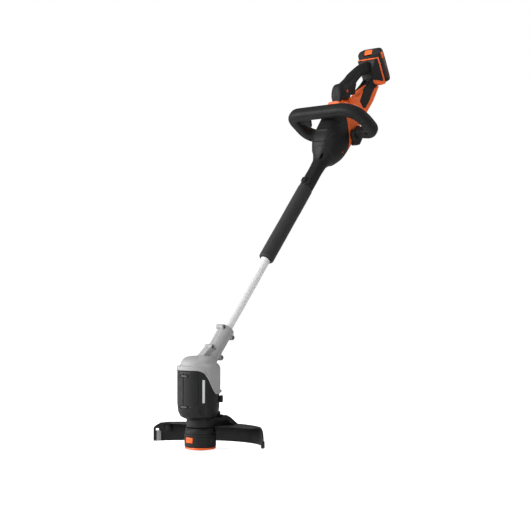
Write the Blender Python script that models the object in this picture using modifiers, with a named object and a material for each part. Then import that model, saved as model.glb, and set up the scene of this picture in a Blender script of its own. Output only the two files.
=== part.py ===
"""Cordless string trimmer with a loop handle and a slide-on battery.

World frame: Z is up and is the axis of the line spool, the origin is the centre of the spool cap's flat
underside, and X = 0 is the plane of symmetry. The shaft leans towards +Y as it rises.

The shaft and the power head are modelled in a shaft frame, held by the empty "shaft_frame": its Z runs up
along the shaft, its Y is square to it on the side of the ground, and its X is the world's X. Side outlines
there are lists of (y, z, corner radius).
"""
import bmesh
import bpy
from math import atan2, cos, pi, radians, sin, tan
from mathutils import Matrix, Vector

MM = 0.001

# Driving dimensions
LEAN = radians(39.5)            # shaft from the spool axis
JUNCTION = (0, 3.4 * MM, 184.2 * MM)    # the point on the shaft's axis that heights along it count from
GAP = 0.4 * MM                  # clearance between touching pieces
STEPS = 28                      # facets round an outer turned piece
INNER_STEPS = 18                # and round one that is out of sight

CAP_RADIUS = 39 * MM
CAP_FLOOR = 7.5 * MM
CAP_TOP = 39 * MM
HOUSING_TOP = 54.5 * MM
BARREL_CENTRE_Y = -6.5 * MM
BARREL_RADIUS = 50.5 * MM
BARREL_BOTTOM = 77 * MM
BARREL_HEIGHT = 120 * MM
COVER_RADIUS = 53.5 * MM
COVER_LINE = 117.5 * MM         # the cover's front edge above the barrel's bottom
NECK_RADIUS = 19.3 * MM
NECK_START = 28 * MM
NECK_END = 139 * MM
TUBE_RADIUS = 12.7 * MM
TUBE_WALL = 2.2 * MM
TUBE_START = 50 * MM
TUBE_END = 468 * MM
SLEEVE_RADIUS = 20.2 * MM
SLEEVE_START = 370 * MM
SLEEVE_END = 622 * MM
OUTER_TUBE_RADIUS = 15 * MM
BODY_START = 647 * MM
BODY_HALF_WIDTH = 44 * MM
GRIP_HALF_WIDTH = 17 * MM
DOCK_TILT = radians(25)         # battery rails from square to the shaft
BATTERY_LENGTH = 94 * MM
BATTERY_FRONT = -20 * MM        # its front end, from the start of the rails
BATTERY_HALF_WIDTH = 36.5 * MM
GUARD_HALF_WIDTH = 190 * MM
GUARD_TOP = 57 * MM
GUARD_BOTTOM = 11.5 * MM
GUARD_TOP_SLOPE = 0.018         # the guard hangs lower on the cutter's side
GUARD_BOTTOM_SLOPE = 0.034
LOOP_HALF_WIDTH = 114 * MM
LOOP_RADIUS = 16.5 * MM

for old in list(bpy.data.objects):
    bpy.data.objects.remove(old, do_unlink=True)

parts = bpy.data.collections.new("string_trimmer")
cutters = bpy.data.collections.new("cutters")
bpy.context.scene.collection.children.link(parts)
bpy.context.scene.collection.children.link(cutters)


# ---------------------------------------------------------------- materials
def finish(name, colour, roughness, metallic=0.0):
    made = bpy.data.materials.new(name)
    made.use_nodes = True
    shader = made.node_tree.nodes["Principled BSDF"]
    shader.inputs["Base Color"].default_value = (*colour, 1)
    shader.inputs["Roughness"].default_value = roughness
    shader.inputs["Metallic"].default_value = metallic
    return made


BLACK = finish("black_plastic", (0.030, 0.031, 0.033), 0.5)
SOFT_BLACK = finish("soft_grip", (0.022, 0.022, 0.024), 0.8)
FOAM = finish("foam", (0.014, 0.014, 0.015), 0.9)
GRAY = finish("gray_plastic", (0.38, 0.38, 0.39), 0.5)
ORANGE = finish("orange_plastic", (0.90, 0.12, 0.016), 0.4)
ALUMINIUM = finish("aluminium", (0.86, 0.86, 0.87), 0.3, 1.0)
STEEL = finish("steel", (0.55, 0.55, 0.56), 0.35, 1.0)
COPPER = finish("copper", (0.72, 0.35, 0.18), 0.4, 1.0)
LINE = finish("nylon_line", (0.75, 0.75, 0.70), 0.4)
BOARD = finish("circuit_board", (0.02, 0.16, 0.06), 0.5)
CELL = finish("cell_wrap", (0.10, 0.25, 0.45), 0.4)


# ---------------------------------------------------------------- making helpers
shaft_frame = bpy.data.objects.new("shaft_frame", None)
shaft_frame.location = JUNCTION
shaft_frame.rotation_euler = (-LEAN, 0, 0)
parts.objects.link(shaft_frame)


def place(name, data, material=None, at=(0, 0, 0), turn=(0, 0, 0), parent=None):
    """A new object; one with no material is a cutter and is left out of the model."""
    made = bpy.data.objects.new(name, data)
    made.location = at
    made.rotation_euler = turn
    made.parent = parent
    if material is None:
        made.hide_render = True
        made.display_type = "WIRE"
        cutters.objects.link(made)
    else:
        data.materials.append(material)
        parts.objects.link(made)
    return made


def mesh_of(name, build):
    """A mesh made by build, a function that fills a bmesh."""
    shape = bmesh.new()
    build(shape)
    data = bpy.data.meshes.new(name)
    shape.to_mesh(data)
    shape.free()
    return data


def smooth(made, angle=35):
    made.data.shade_smooth()
    made.data.set_sharp_from_angle(angle=radians(angle))


def cylinder(name, radius, length, material=None, at=(0, 0, 0), turn=(0, 0, 0), parent=None, sides=24):
    def build(shape):
        bmesh.ops.create_cone(shape, cap_ends=True, segments=sides, radius1=radius, radius2=radius,
                              depth=length)
    made = place(name, mesh_of(name, build), material, at, turn, parent)
    smooth(made)
    return made


def cuboid(name, size, material=None, at=(0, 0, 0), turn=(0, 0, 0), parent=None, rounding=0.0):
    def build(shape):
        bmesh.ops.create_cube(shape, size=1, matrix=Matrix.Diagonal((*size, 1)))
        if rounding:
            bmesh.ops.bevel(shape, geom=shape.edges[:], offset=rounding, segments=2, affect="EDGES",
                            profile=0.5)
    return place(name, mesh_of(name, build), material, at, turn, parent)


def turned(name, profile, material=None, at=(0, 0, 0), turn=(0, 0, 0), parent=None, ring=False,
           steps=STEPS):
    """Turns (radius, height) points, listed down the outer side, about Z; a ring's profile closes."""
    data = bpy.data.meshes.new(name)
    links = [(i, i + 1) for i in range(len(profile) - 1)]
    if ring:
        links.append((len(profile) - 1, 0))
    data.from_pydata([(r, 0, z) for r, z in profile], links, [])
    made = place(name, data, material, at, turn, parent)
    screw = made.modifiers.new("turn", "SCREW")
    screw.axis = "Z"
    screw.angle = 2 * pi
    screw.steps = steps
    screw.render_steps = steps
    screw.use_merge_vertices = True
    screw.merge_threshold = 0.00001
    screw.use_smooth_shade = True
    return made


def washer(name, outer, inner, low, high, material=None, at=(0, 0, 0), turn=(0, 0, 0), parent=None,
           steps=STEPS):
    profile = [(outer, high), (outer, low), (inner, low), (inner, high)]
    return turned(name, profile, material, at, turn, parent, ring=True, steps=steps)


def rounded(corners, facets=4):
    """The points of an outline whose corners (x, y, radius) are rounded off."""
    points = []
    for i, (x, y, radius) in enumerate(corners):
        here = Vector((x, y))
        if not radius:
            points.append(here)
            continue
        back = (Vector(corners[i - 1][:2]) - here).normalized()
        ahead = (Vector(corners[(i + 1) % len(corners)][:2]) - here).normalized()
        half_angle = back.angle(ahead) / 2
        reach = radius / tan(half_angle)
        centre = here + (back + ahead).normalized() * (radius / sin(half_angle))
        first = here + back * reach - centre
        last = here + ahead * reach - centre
        sweep = atan2(first.x * last.y - first.y * last.x, first.dot(last))
        for step in range(facets + 1):
            points.append(centre + Matrix.Rotation(sweep * step / facets, 2) @ first)
    return points


def plate(name, outlines, low, high, material=None, at=(0, 0, 0), turn=(0, 0, 0), parent=None):
    """A flat piece with one outline, or one with holes, from height low to high over its own plane."""
    curve = bpy.data.curves.new(name, "CURVE")
    curve.dimensions = "2D"
    curve.fill_mode = "BOTH"
    curve.extrude = (high - low) / 2
    for outline in outlines:
        spline = curve.splines.new("POLY")
        spline.points.add(len(outline) - 1)
        for point, (x, y) in zip(spline.points, outline):
            point.co = (x, y, 0, 1)
        spline.use_cyclic_u = True
    sketch = bpy.data.objects.new(name + "_sketch", curve)
    cutters.objects.link(sketch)
    shape = bmesh.new()
    evaluated = sketch.evaluated_get(bpy.context.evaluated_depsgraph_get())
    shape.from_mesh(bpy.data.meshes.new_from_object(evaluated))
    bpy.data.objects.remove(sketch)
    bmesh.ops.remove_doubles(shape, verts=shape.verts[:], dist=0.00001)
    bmesh.ops.translate(shape, verts=shape.verts[:], vec=(0, 0, (high + low) / 2))
    bmesh.ops.recalc_face_normals(shape, faces=shape.faces[:])
    data = bpy.data.meshes.new(name)
    shape.to_mesh(data)
    shape.free()
    return place(name, data, material, at, turn, parent)


SIDEWAYS = (radians(90), 0,
            radians(90))     # stands an outline (x, y) up as (Y, Z), with its height along X


def side_plate(name, outlines, low, high, material=None, parent=shaft_frame):
    return plate(name, [rounded(outline) for outline in outlines], low, high, material, turn=SIDEWAYS,
                 parent=parent)


def loft(name, sections, material=None, parent=shaft_frame, points=24):
    """Skins sections (y, z, tilt, half depth, half width, squareness) of a piece that runs up its Z."""
    def build(shape):
        rings = []
        for y, z, tilt, depth, width, square in sections:
            ring = []
            for step in range(points):
                angle = 2 * pi * step / points
                across = abs(cos(angle)) ** (2 / square) * (1 if cos(angle) >= 0 else -1) * width
                out = abs(sin(angle)) ** (2 / square) * (1 if sin(angle) >= 0 else -1) * depth
                ring.append(shape.verts.new((across, y + out * cos(tilt), z + out * sin(tilt))))
            rings.append(ring)
        for lower, upper in zip(rings, rings[1:]):
            for i in range(points):
                j = (i + 1) % points
                shape.faces.new((lower[i], lower[j], upper[j], upper[i]))
        shape.faces.new(rings[0][::-1])
        shape.faces.new(rings[-1])
    made = place(name, mesh_of(name, build), material, parent=parent)
    smooth(made)
    return made


def shrunk(sections, wall):
    """The same sections, smaller all round by the wall and shorter by it at both ends."""
    inner = [(y, z, tilt, depth - wall, width - wall, square) for y, z, tilt, depth, width,
             square in sections]
    y, z, tilt, depth, width, square = inner[0]
    inner[0] = (y, z + wall, tilt, depth, width, square)
    y, z, tilt, depth, width, square = inner[-1]
    inner[-1] = (y, z - wall, tilt, depth, width, square)
    return inner


def swept(name, route, radius, material, parent=None, closed=False, sides=2, soft=True):
    """A rod along a route, as a mesh with welded ends."""
    curve = bpy.data.curves.new(name, "CURVE")
    curve.dimensions = "3D"
    curve.bevel_depth = radius
    curve.bevel_resolution = sides
    curve.use_fill_caps = not closed
    spline = curve.splines.new("POLY")
    spline.points.add(len(route) - 1)
    for point, place_at in zip(spline.points, route):
        point.co = (*place_at, 1)
    spline.use_cyclic_u = closed
    sketch = bpy.data.objects.new(name + "_sketch", curve)
    cutters.objects.link(sketch)
    shape = bmesh.new()
    evaluated = sketch.evaluated_get(bpy.context.evaluated_depsgraph_get())
    shape.from_mesh(bpy.data.meshes.new_from_object(evaluated))
    bpy.data.objects.remove(sketch)
    bmesh.ops.remove_doubles(shape, verts=shape.verts[:], dist=0.00001)
    bmesh.ops.recalc_face_normals(shape, faces=shape.faces[:])
    data = bpy.data.meshes.new(name)
    shape.to_mesh(data)
    shape.free()
    made = place(name, data, material, parent=parent)
    if soft:
        smooth(made, 50)
    return made


def coil(radius, pitch, turns, per_turn=12):
    """Points up a helix about Z."""
    count = int(turns * per_turn) + 1
    return [(radius * cos(2 * pi * i / per_turn), radius * sin(2 * pi * i / per_turn), pitch * i / per_turn)
            for i in range(count)]


def combine(target, tool, operation="DIFFERENCE"):
    boolean = target.modifiers.new(operation.lower(), "BOOLEAN")
    boolean.operation = operation
    boolean.solver = "EXACT"
    boolean.object = tool
    return target


HALF_SPACE = 2.6                # taller than the whole object on both sides of the origin


def side_box(side):
    """Everything on one side of the plane of symmetry, for splitting a piece into halves."""
    return cuboid("half_" + side, (HALF_SPACE,) * 3,
                  at=((HALF_SPACE + GAP) / 2 * (1 if side == "right" else -1), 0, 0))


HALVES = {side: side_box(side) for side in ("left", "right")}
SIGN = {"left": -1, "right": 1}


# ---------------------------------------------------------------- spool head
def cap():
    wall = 4 * MM
    cup = turned("cap_cup", [(CAP_RADIUS, CAP_TOP), (CAP_RADIUS, CAP_FLOOR + 1 * MM),
                             (CAP_RADIUS - 1 * MM, CAP_FLOOR),
                             (CAP_RADIUS - wall, CAP_FLOOR), (CAP_RADIUS - wall, CAP_TOP)], BLACK,
                             ring=True)
    window_z = 25 * MM
    for name, y in (("front", -1), ("rear", 1)):
        window = cuboid("tab_window_" + name, (23 * MM, 14 * MM, 15 * MM),
                        at=(0, y * (CAP_RADIUS - 1 * MM), window_z))
        combine(cup, window)
        cuboid("release_tab_" + name, (22.2 * MM, 7 * MM, 14.2 * MM), ORANGE,
               at=(0, y * (CAP_RADIUS - 3.6 * MM), window_z),
               rounding=1 * MM)
    for name, x in (("left", -1), ("right", 1)):
        turn = (0, x * radians(90), 0)
        combine(cup, cylinder("eyelet_hole_" + name, 3.4 * MM, 12 * MM,
                              at=(x * (CAP_RADIUS - 2 * MM), 0, 22 * MM), turn=turn, sides=12))
        washer("line_eyelet_" + name, 3 * MM, 1.6 * MM, 0, 4.6 * MM, STEEL,
               at=(x * (CAP_RADIUS - 4.4 * MM), 0, 22 * MM),
               turn=turn, steps=12)
    turned("cap_floor", [(0, CAP_FLOOR - GAP), (CAP_RADIUS - 2.6 * MM, CAP_FLOOR - GAP),
                         (CAP_RADIUS - 0.6 * MM, CAP_FLOOR - 2.4 * MM),
                         (CAP_RADIUS - 2 * MM, 3 * MM), (22 * MM, 2.4 * MM), (20 * MM, 0), (0, 0)], ORANGE)


def spool():
    flange, core = 30 * MM, 17 * MM
    turned("line_spool", [(flange, 37 * MM), (flange, 35 * MM), (core, 35 * MM), (core, 12 * MM),
                          (flange, 12 * MM), (flange, 10 * MM),
                          (8 * MM, 10 * MM), (8 * MM, 37 * MM)], BLACK, ring=True, steps=INNER_STEPS)
    washer("wound_line", 25 * MM, core + GAP, 12.4 * MM, 34.6 * MM, LINE, steps=INNER_STEPS)
    swept("spool_spring", [(x, y, z + 11 * MM) for x, y, z in coil(6 * MM, 5.5 * MM, 3, per_turn=9)],
          0.6 * MM, STEEL, sides=1)


def spool_housing():
    lip = CAP_TOP + GAP
    made = turned("spool_housing", [(37 * MM, 51.5 * MM), (37 * MM, lip), (34 * MM, lip),
                                    (34 * MM, 49 * MM), (6.5 * MM, 49 * MM),
                                    (6.5 * MM, 38 * MM), (4.4 * MM, 38 * MM), (4.4 * MM, HOUSING_TOP),
                                    (33 * MM, HOUSING_TOP)],
                  BLACK, ring=True)
    slots = 6
    for i in range(slots):
        angle = 2 * pi * (i + 0.5) / slots
        at = (36.2 * MM * cos(angle), 36.2 * MM * sin(angle), 45.6 * MM)
        combine(made, cuboid("housing_slot_%d" % i, (5 * MM, 15 * MM, 3.2 * MM), at=at, turn=(0, 0, angle)))


def motor():
    turned("motor_shaft", [(0, 190 * MM), (4 * MM, 190 * MM), (4 * MM, 39 * MM), (0, 39 * MM)], STEEL,
           steps=INNER_STEPS)
    washer("armature", 24 * MM, 4.4 * MM, 110 * MM, 166 * MM, COPPER, steps=INNER_STEPS)
    fan = washer("cooling_fan", 27 * MM, 4.4 * MM, 85 * MM, 86.5 * MM, BLACK, steps=INNER_STEPS)
    blades = 9
    for i in range(blades):
        angle = 2 * pi * i / blades
        blade = cuboid("fan_blade_%d" % i, (16 * MM, 1.4 * MM, 6 * MM),
                       at=(16.5 * MM * cos(angle), 16.5 * MM * sin(angle), 89 * MM),
                       turn=(0, 0, angle + radians(20)))
        combine(fan, blade, "UNION")
    turned("motor_can", [(30 * MM, 178 * MM), (30 * MM, 96 * MM), (9 * MM, 96 * MM), (9 * MM, 101 * MM),
                         (26 * MM, 103 * MM),
                         (26 * MM, 172 * MM), (9 * MM, 174 * MM), (9 * MM, 178 * MM)], STEEL, ring=True,
                         steps=INNER_STEPS)
    washer("lower_bearing", 8.6 * MM, 4.4 * MM, 96.5 * MM, 101 * MM, STEEL, steps=INNER_STEPS)
    washer("upper_bearing", 8.6 * MM, 4.4 * MM, 173.5 * MM, 178 * MM, STEEL, steps=INNER_STEPS)


# ---------------------------------------------------------------- head housing
HEAD_AT = (0, BARREL_CENTRE_Y, BARREL_BOTTOM)


def barrel():
    inside = BARREL_RADIUS - 2.8 * MM
    made = turned("motor_barrel", [(BARREL_RADIUS, BARREL_HEIGHT), (BARREL_RADIUS, 33 * MM),
                                   (49 * MM, 19 * MM), (44 * MM, 8 * MM),
                                   (36 * MM, 1.5 * MM), (31 * MM, 0), (0, 0), (0, 3 * MM),
                                   (34 * MM, 4 * MM), (41.6 * MM, 10 * MM),
                                   (46.3 * MM, 20 * MM), (inside, 33 * MM), (inside, BARREL_HEIGHT)], BLACK,
                                   at=HEAD_AT, ring=True)
    combine(made, cylinder("shaft_hole", 11 * MM, 20 * MM, at=(0, 0, BARREL_BOTTOM)))
    for name, z in (("upper", 184 * MM), ("lower", 101 * MM)):
        combine(made, cuboid("vent_" + name, (22 * MM, 20 * MM, 3.5 * MM),
                             at=(0, BARREL_CENTRE_Y - BARREL_RADIUS, z)))
    panel = washer("front_panel", BARREL_RADIUS + 1.6 * MM, BARREL_RADIUS + GAP, 29 * MM, 101 * MM, BLACK,
                   at=HEAD_AT)
    half_angle, reach = radians(33), 70 * MM
    side = (reach * sin(half_angle), -reach * cos(half_angle))
    wedge = [(0, 0), (-side[0], side[1]), (0, -reach * 1.2), side]
    combine(panel, plate("panel_wedge", [wedge], 10 * MM, 110 * MM, at=HEAD_AT), "INTERSECT")
    stop_angle = radians(40)
    stop_reach = BARREL_RADIUS + 4.5 * MM
    stop_at = (stop_reach * cos(stop_angle), BARREL_CENTRE_Y + stop_reach * sin(stop_angle), 124 * MM)
    cuboid("rear_stop", (8 * MM, 16 * MM, 17 * MM), BLACK, at=stop_at, turn=(0, 0, stop_angle),
           rounding=1.5 * MM)


CLAMP_SCREWS = [(-19.5 * MM, 131 * MM), (22 * MM, 130 * MM), (-19.5 * MM, 68 * MM), (22.5 * MM, 67 * MM)]


def head_cover():
    bore = BARREL_RADIUS + GAP
    across = (0, radians(90), 0)
    neck = turned("clamp_neck", [(0, NECK_END), (21 * MM, NECK_END), (21 * MM, 127 * MM),
                                 (NECK_RADIUS, 123 * MM),
                                 (NECK_RADIUS, NECK_START), (0, NECK_START)], parent=shaft_frame)
    pad = side_plate("clamp_pad", [[(-25 * MM, 45 * MM, 3 * MM), (-10 * MM, 45 * MM, 0),
                                    (-10 * MM, 76 * MM, 0),
                                    (-24 * MM, 76 * MM, 3 * MM)]], -10 * MM, 10 * MM)
    tube_bore = cylinder("tube_bore", TUBE_RADIUS + GAP, NECK_END,
                         at=(0, 0, NECK_END / 2 + TUBE_START - 2 * MM), parent=shaft_frame)
    wire_bore = cylinder("wire_bore", 8 * MM, NECK_END, at=(0, 0, NECK_END / 2), parent=shaft_frame)
    below = rounded([(-80 * MM, 10 * MM, 0), (-80 * MM, COVER_LINE, 0), (-34 * MM, COVER_LINE, 14 * MM),
                     (-1 * MM, 68 * MM, 0),
                     (5 * MM, 60 * MM, 8 * MM), (80 * MM, 60 * MM, 0), (80 * MM, 10 * MM, 0)])
    below_line = plate("cover_lower_line", [below], -90 * MM, 90 * MM, at=HEAD_AT, turn=SIDEWAYS)
    bosses = [cylinder("clamp_boss_%d" % i, 7 * MM, 24 * MM, at=(0, y, z), turn=across, parent=shaft_frame)
              for i, (y, z) in enumerate(CLAMP_SCREWS)]
    halves = []
    for side in ("left", "right"):
        made = turned("head_cover_" + side, [(0, 152 * MM), (29 * MM, 150 * MM), (39.5 * MM, 145.5 * MM),
                                             (43.3 * MM, 139 * MM),
                                             (44.5 * MM, 129.5 * MM), (COVER_RADIUS, 128 * MM),
                                             (COVER_RADIUS, 55 * MM), (bore, 55 * MM),
                                             (bore, 125 * MM), (42 * MM, 127 * MM), (40.5 * MM, 136 * MM),
                                             (37 * MM, 142.5 * MM),
                                             (27.5 * MM, 147 * MM), (0, 149 * MM)], GRAY, at=HEAD_AT)
        combine(made, below_line)
        for piece in [neck, pad] + bosses:
            combine(made, piece, "UNION")
        combine(made, tube_bore)
        combine(made, wire_bore)
        combine(made, HALVES[side], "INTERSECT")
        halves.append(made)
    for i, (y, z) in enumerate(CLAMP_SCREWS):
        hole = cylinder("clamp_hole_%d" % i, 2.6 * MM, 40 * MM, at=(0, y, z), turn=across,
                        parent=shaft_frame, sides=10)
        sink = cylinder("clamp_sink_%d" % i, 4.4 * MM, 10 * MM, at=(14 * MM, y, z), turn=across,
                        parent=shaft_frame, sides=12)
        for made in halves:
            combine(made, hole)
        combine(halves[1], sink)
        turned("neck_screw_%d" % (i + 1), [(0, 12 * MM), (3.8 * MM, 12 * MM), (3.8 * MM, 9.4 * MM),
                                           (2 * MM, 9.4 * MM),
                                           (2 * MM, -9 * MM), (0, -9 * MM)], STEEL, at=(0, y, z),
                                           turn=across, parent=shaft_frame, steps=10)


# ---------------------------------------------------------------- guard
def guard_arc(half_width, tip_y, back_y, count=16):
    """Points of the arc through both wing tips and the middle of the guard's back, from -X to +X."""
    rise = back_y - tip_y
    radius = (half_width ** 2 + rise ** 2) / (2 * rise)
    centre_y = back_y - radius
    reach = atan2(half_width, tip_y - centre_y)
    angles = [reach * (2 * i / count - 1) for i in range(count + 1)]
    return [(radius * sin(angle), centre_y + radius * cos(angle)) for angle in angles]


def slope_sideways(made):
    """Lets the guard's plate fall away towards the cutter, its lower edge more than its top."""
    for vertex in made.data.vertices:
        up = (vertex.co.z - GUARD_BOTTOM) / (GUARD_TOP - GUARD_BOTTOM)
        vertex.co.z += vertex.co.x * (GUARD_BOTTOM_SLOPE * (1 - up) + GUARD_TOP_SLOPE * up)
    return made


BLADE_AT = (-174 * MM, 25 * MM, 20 * MM)
GUARD_TIP_Y = 21 * MM
GUARD_BACK_Y = 106 * MM


def wing_corner(side, radius):
    """The waste outside a wing's rounded upper corner, running through the guard along Y."""
    x = SIGN[side] * GUARD_HALF_WIDTH
    top = GUARD_TOP + GUARD_TOP_SLOPE * x
    steps = 6
    arc = []
    for i in range(steps + 1):
        angle = radians(90) * i / steps
        arc.append((x - SIGN[side] * radius * (1 - sin(angle)), top - radius * (1 - cos(angle))))
    over = 5 * MM
    beyond = x + SIGN[side] * over
    outline = [(arc[0][0], top + over)] + arc + [(beyond, arc[-1][1]), (beyond, top + over)]
    return plate("wing_corner_" + side, [outline], -120 * MM, 60 * MM, turn=(radians(90), 0, 0))


def guard():
    outer = guard_arc(GUARD_HALF_WIDTH, GUARD_TIP_Y, GUARD_BACK_Y)
    inner = guard_arc(GUARD_HALF_WIDTH - 2 * MM, GUARD_TIP_Y - 2.4 * MM, GUARD_BACK_Y - 3 * MM)
    deck_edge = [(70 * MM, 30 * MM), (30 * MM, 12 * MM), (-30 * MM, 12 * MM), (-70 * MM, 30 * MM)]
    made = slope_sideways(plate("guard", [outer + inner[::-1]], GUARD_BOTTOM, GUARD_TOP, BLACK))
    deck = slope_sideways(plate("guard_deck", [outer + deck_edge], GUARD_TOP - 1.6 * MM,
                                GUARD_TOP + 0.02 * MM))
    saddle = plate("guard_saddle", [rounded([(26 * MM, 86 * MM, 8 * MM), (-26 * MM, 86 * MM, 8 * MM),
                                             (-30 * MM, 10 * MM, 0),
                                             (30 * MM, 10 * MM, 0)])], GUARD_TOP - 1.5 * MM,
                                             BARREL_BOTTOM - GAP)
    collar = cylinder("guard_collar_solid", 34 * MM, BARREL_BOTTOM - GAP - HOUSING_TOP - 1.5 * MM,
                      at=(0, 0, (BARREL_BOTTOM - GAP + HOUSING_TOP + 1.5 * MM) / 2), sides=STEPS)
    for piece in (deck, saddle, collar):
        combine(made, piece, "UNION")
    combine(made, wing_corner("left", 20 * MM))
    combine(made, wing_corner("right", 35 * MM))
    combine(made, cylinder("guard_bore", 30 * MM, 28 * MM, at=(0, 0, 58 * MM), sides=STEPS))
    combine(made, cylinder("guard_shaft_bore", 9 * MM, 90 * MM, at=(0, 0, 60 * MM)))
    combine(made, cuboid("spool_room", (82 * MM, 60 * MM, 30 * MM), at=(0, 0, HOUSING_TOP - 14 * MM)))
    for i, x in enumerate((-14 * MM, 14 * MM)):
        at_y, head_z = 52 * MM, BARREL_BOTTOM
        combine(made, cylinder("guard_screw_hole_%d" % i, 2.6 * MM, 60 * MM, at=(x, at_y, 66 * MM),
                               sides=10))
        turned("guard_screw_%d" % (i + 1), [(0, head_z + 2.5 * MM), (4 * MM, head_z + 2.5 * MM),
                                            (4 * MM, head_z), (2 * MM, head_z),
                                            (2 * MM, head_z - 16 * MM), (0, head_z - 16 * MM)], STEEL,
                                            at=(x, at_y, 0), steps=10)
    # the cutter blade stands inside the skirt near its end, on one screw
    turn = (0, 0, radians(38))
    cuboid("line_cutter_blade", (15 * MM, 1.2 * MM, 26 * MM), STEEL, at=BLADE_AT, turn=turn)


# ---------------------------------------------------------------- shaft
GROOVE_ANGLE = radians(8)       # from +X towards +Y
GROOVE_WIDTH = 6 * MM


def shaft():
    groove_at = (TUBE_RADIUS * cos(GROOVE_ANGLE), TUBE_RADIUS * sin(GROOVE_ANGLE))
    length = TUBE_END - TUBE_START
    tube = washer("lower_tube", TUBE_RADIUS, TUBE_RADIUS - TUBE_WALL, TUBE_START, TUBE_END, ALUMINIUM,
                  parent=shaft_frame)
    groove = cuboid("tube_groove", (2.4 * MM, GROOVE_WIDTH, length + 20 * MM),
                    at=(*groove_at, (TUBE_START + TUBE_END) / 2), turn=(0, 0, GROOVE_ANGLE),
                    parent=shaft_frame)
    combine(tube, groove)
    cable_start, cable_end = TUBE_START + 4 * MM, TUBE_END - 8 * MM
    cylinder("inner_cable", 4 * MM, cable_end - cable_start, BLACK,
             at=(0, 0, (cable_start + cable_end) / 2), parent=shaft_frame, sides=10)
    collar = washer("guide_collar", OUTER_TUBE_RADIUS, TUBE_RADIUS + GAP, SLEEVE_START - 2 * MM,
                    SLEEVE_START + 9 * MM, BLACK, parent=shaft_frame)
    key_at = (TUBE_RADIUS + 0.5 * MM) * Vector((cos(GROOVE_ANGLE), sin(GROOVE_ANGLE), 0))
    key = cuboid("collar_key", (1.8 * MM, GROOVE_WIDTH - 2 * GAP, 10 * MM),
                 at=(key_at.x, key_at.y, SLEEVE_START + 3.5 * MM), turn=(0, 0, GROOVE_ANGLE),
                 parent=shaft_frame)
    combine(collar, key, "UNION")
    washer("outer_tube", OUTER_TUBE_RADIUS, TUBE_RADIUS + GAP, SLEEVE_START + 9.5 * MM, 735 * MM, BLACK,
           parent=shaft_frame)
    turned("foam_sleeve", [(SLEEVE_RADIUS, SLEEVE_END - 2 * MM), (SLEEVE_RADIUS, SLEEVE_START + 3 * MM),
                           (SLEEVE_RADIUS - 2 * MM, SLEEVE_START),
                           (OUTER_TUBE_RADIUS + GAP, SLEEVE_START), (OUTER_TUBE_RADIUS + GAP, SLEEVE_END),
                           (SLEEVE_RADIUS - 2 * MM, SLEEVE_END)],
           FOAM, parent=shaft_frame, ring=True)
    lug_collar = washer("sleeve_collar", 19 * MM, OUTER_TUBE_RADIUS + GAP, SLEEVE_END + GAP,
                        BODY_START - GAP, BLACK, parent=shaft_frame)
    lug = cuboid("collar_lug", (15 * MM, 8 * MM, 15 * MM), at=(0, -19.5 * MM, 637 * MM), parent=shaft_frame,
                 rounding=2 * MM)
    combine(lug_collar, lug, "UNION")


# ---------------------------------------------------------------- power head
BODY = [(0, BODY_START, 0, 19 * MM, 19 * MM, 2.0), (0, 700 * MM, 0, 19.5 * MM, 19.5 * MM, 2.0),
        (0, 722 * MM, 0, 26 * MM, 24 * MM, 2.1),
        (0, 745 * MM, 0, 38 * MM, 33 * MM, 2.3), (-2 * MM, 772 * MM, 0, 49 * MM, 40 * MM, 2.5),
        (-4 * MM, 805 * MM, 0, 53 * MM, BODY_HALF_WIDTH, 2.6),
        (-4 * MM, 850 * MM, 0, 53 * MM, BODY_HALF_WIDTH, 2.6),
        (-3 * MM, 888 * MM, 0, 49 * MM, 40 * MM, 2.5),
        (6 * MM, 922 * MM, radians(12), 40 * MM, 30 * MM, 2.4),
        (14 * MM, 946 * MM, radians(16), 32 * MM, 18 * MM, 2.3)]
STRUT = [(-20 * MM, 900 * MM, 0), (38 * MM, 900 * MM, 10 * MM), (42 * MM, 955 * MM, 25 * MM),
         (43 * MM, 1010 * MM, 25 * MM), (38 * MM, 1045 * MM, 10 * MM),
         (38 * MM, 1062 * MM, 1 * MM), (35.8 * MM, 1062 * MM, 0), (30.6 * MM, 1053.4 * MM, 0),
         (11 * MM, 1047.8 * MM, 0), (3 * MM, 1030 * MM, 12 * MM),
         (-7 * MM, 1000 * MM, 12 * MM), (-12 * MM, 966 * MM, 6 * MM), (-36 * MM, 940 * MM, 6 * MM)]
# the seam between the black front housing and the orange shell, in the shaft frame's (Y, Z)
SEAM_LOW = (50 * MM, 786 * MM)
SEAM_HIGH = (-62 * MM, 884 * MM)


def seam_box(above):
    """Everything above or below the seam plane."""
    run = SEAM_HIGH[0] - SEAM_LOW[0]
    rise = SEAM_HIGH[1] - SEAM_LOW[1]
    tilt = atan2(rise, -run)
    middle = ((SEAM_LOW[0] + SEAM_HIGH[0]) / 2, (SEAM_LOW[1] + SEAM_HIGH[1]) / 2)
    size = 400 * MM
    shift = (size + GAP) / 2 * (1 if above else -1)
    at = (0, middle[0] + shift * sin(tilt), middle[1] + shift * cos(tilt))
    return cuboid("seam_above" if above else "seam_below", (size, size, size), at=at, turn=(-tilt, 0, 0),
                  parent=shaft_frame)


def control_board():
    cuboid("control_board", (60 * MM, 3 * MM, 70 * MM), BOARD, at=(0, 8 * MM, 835 * MM), parent=shaft_frame)


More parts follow.
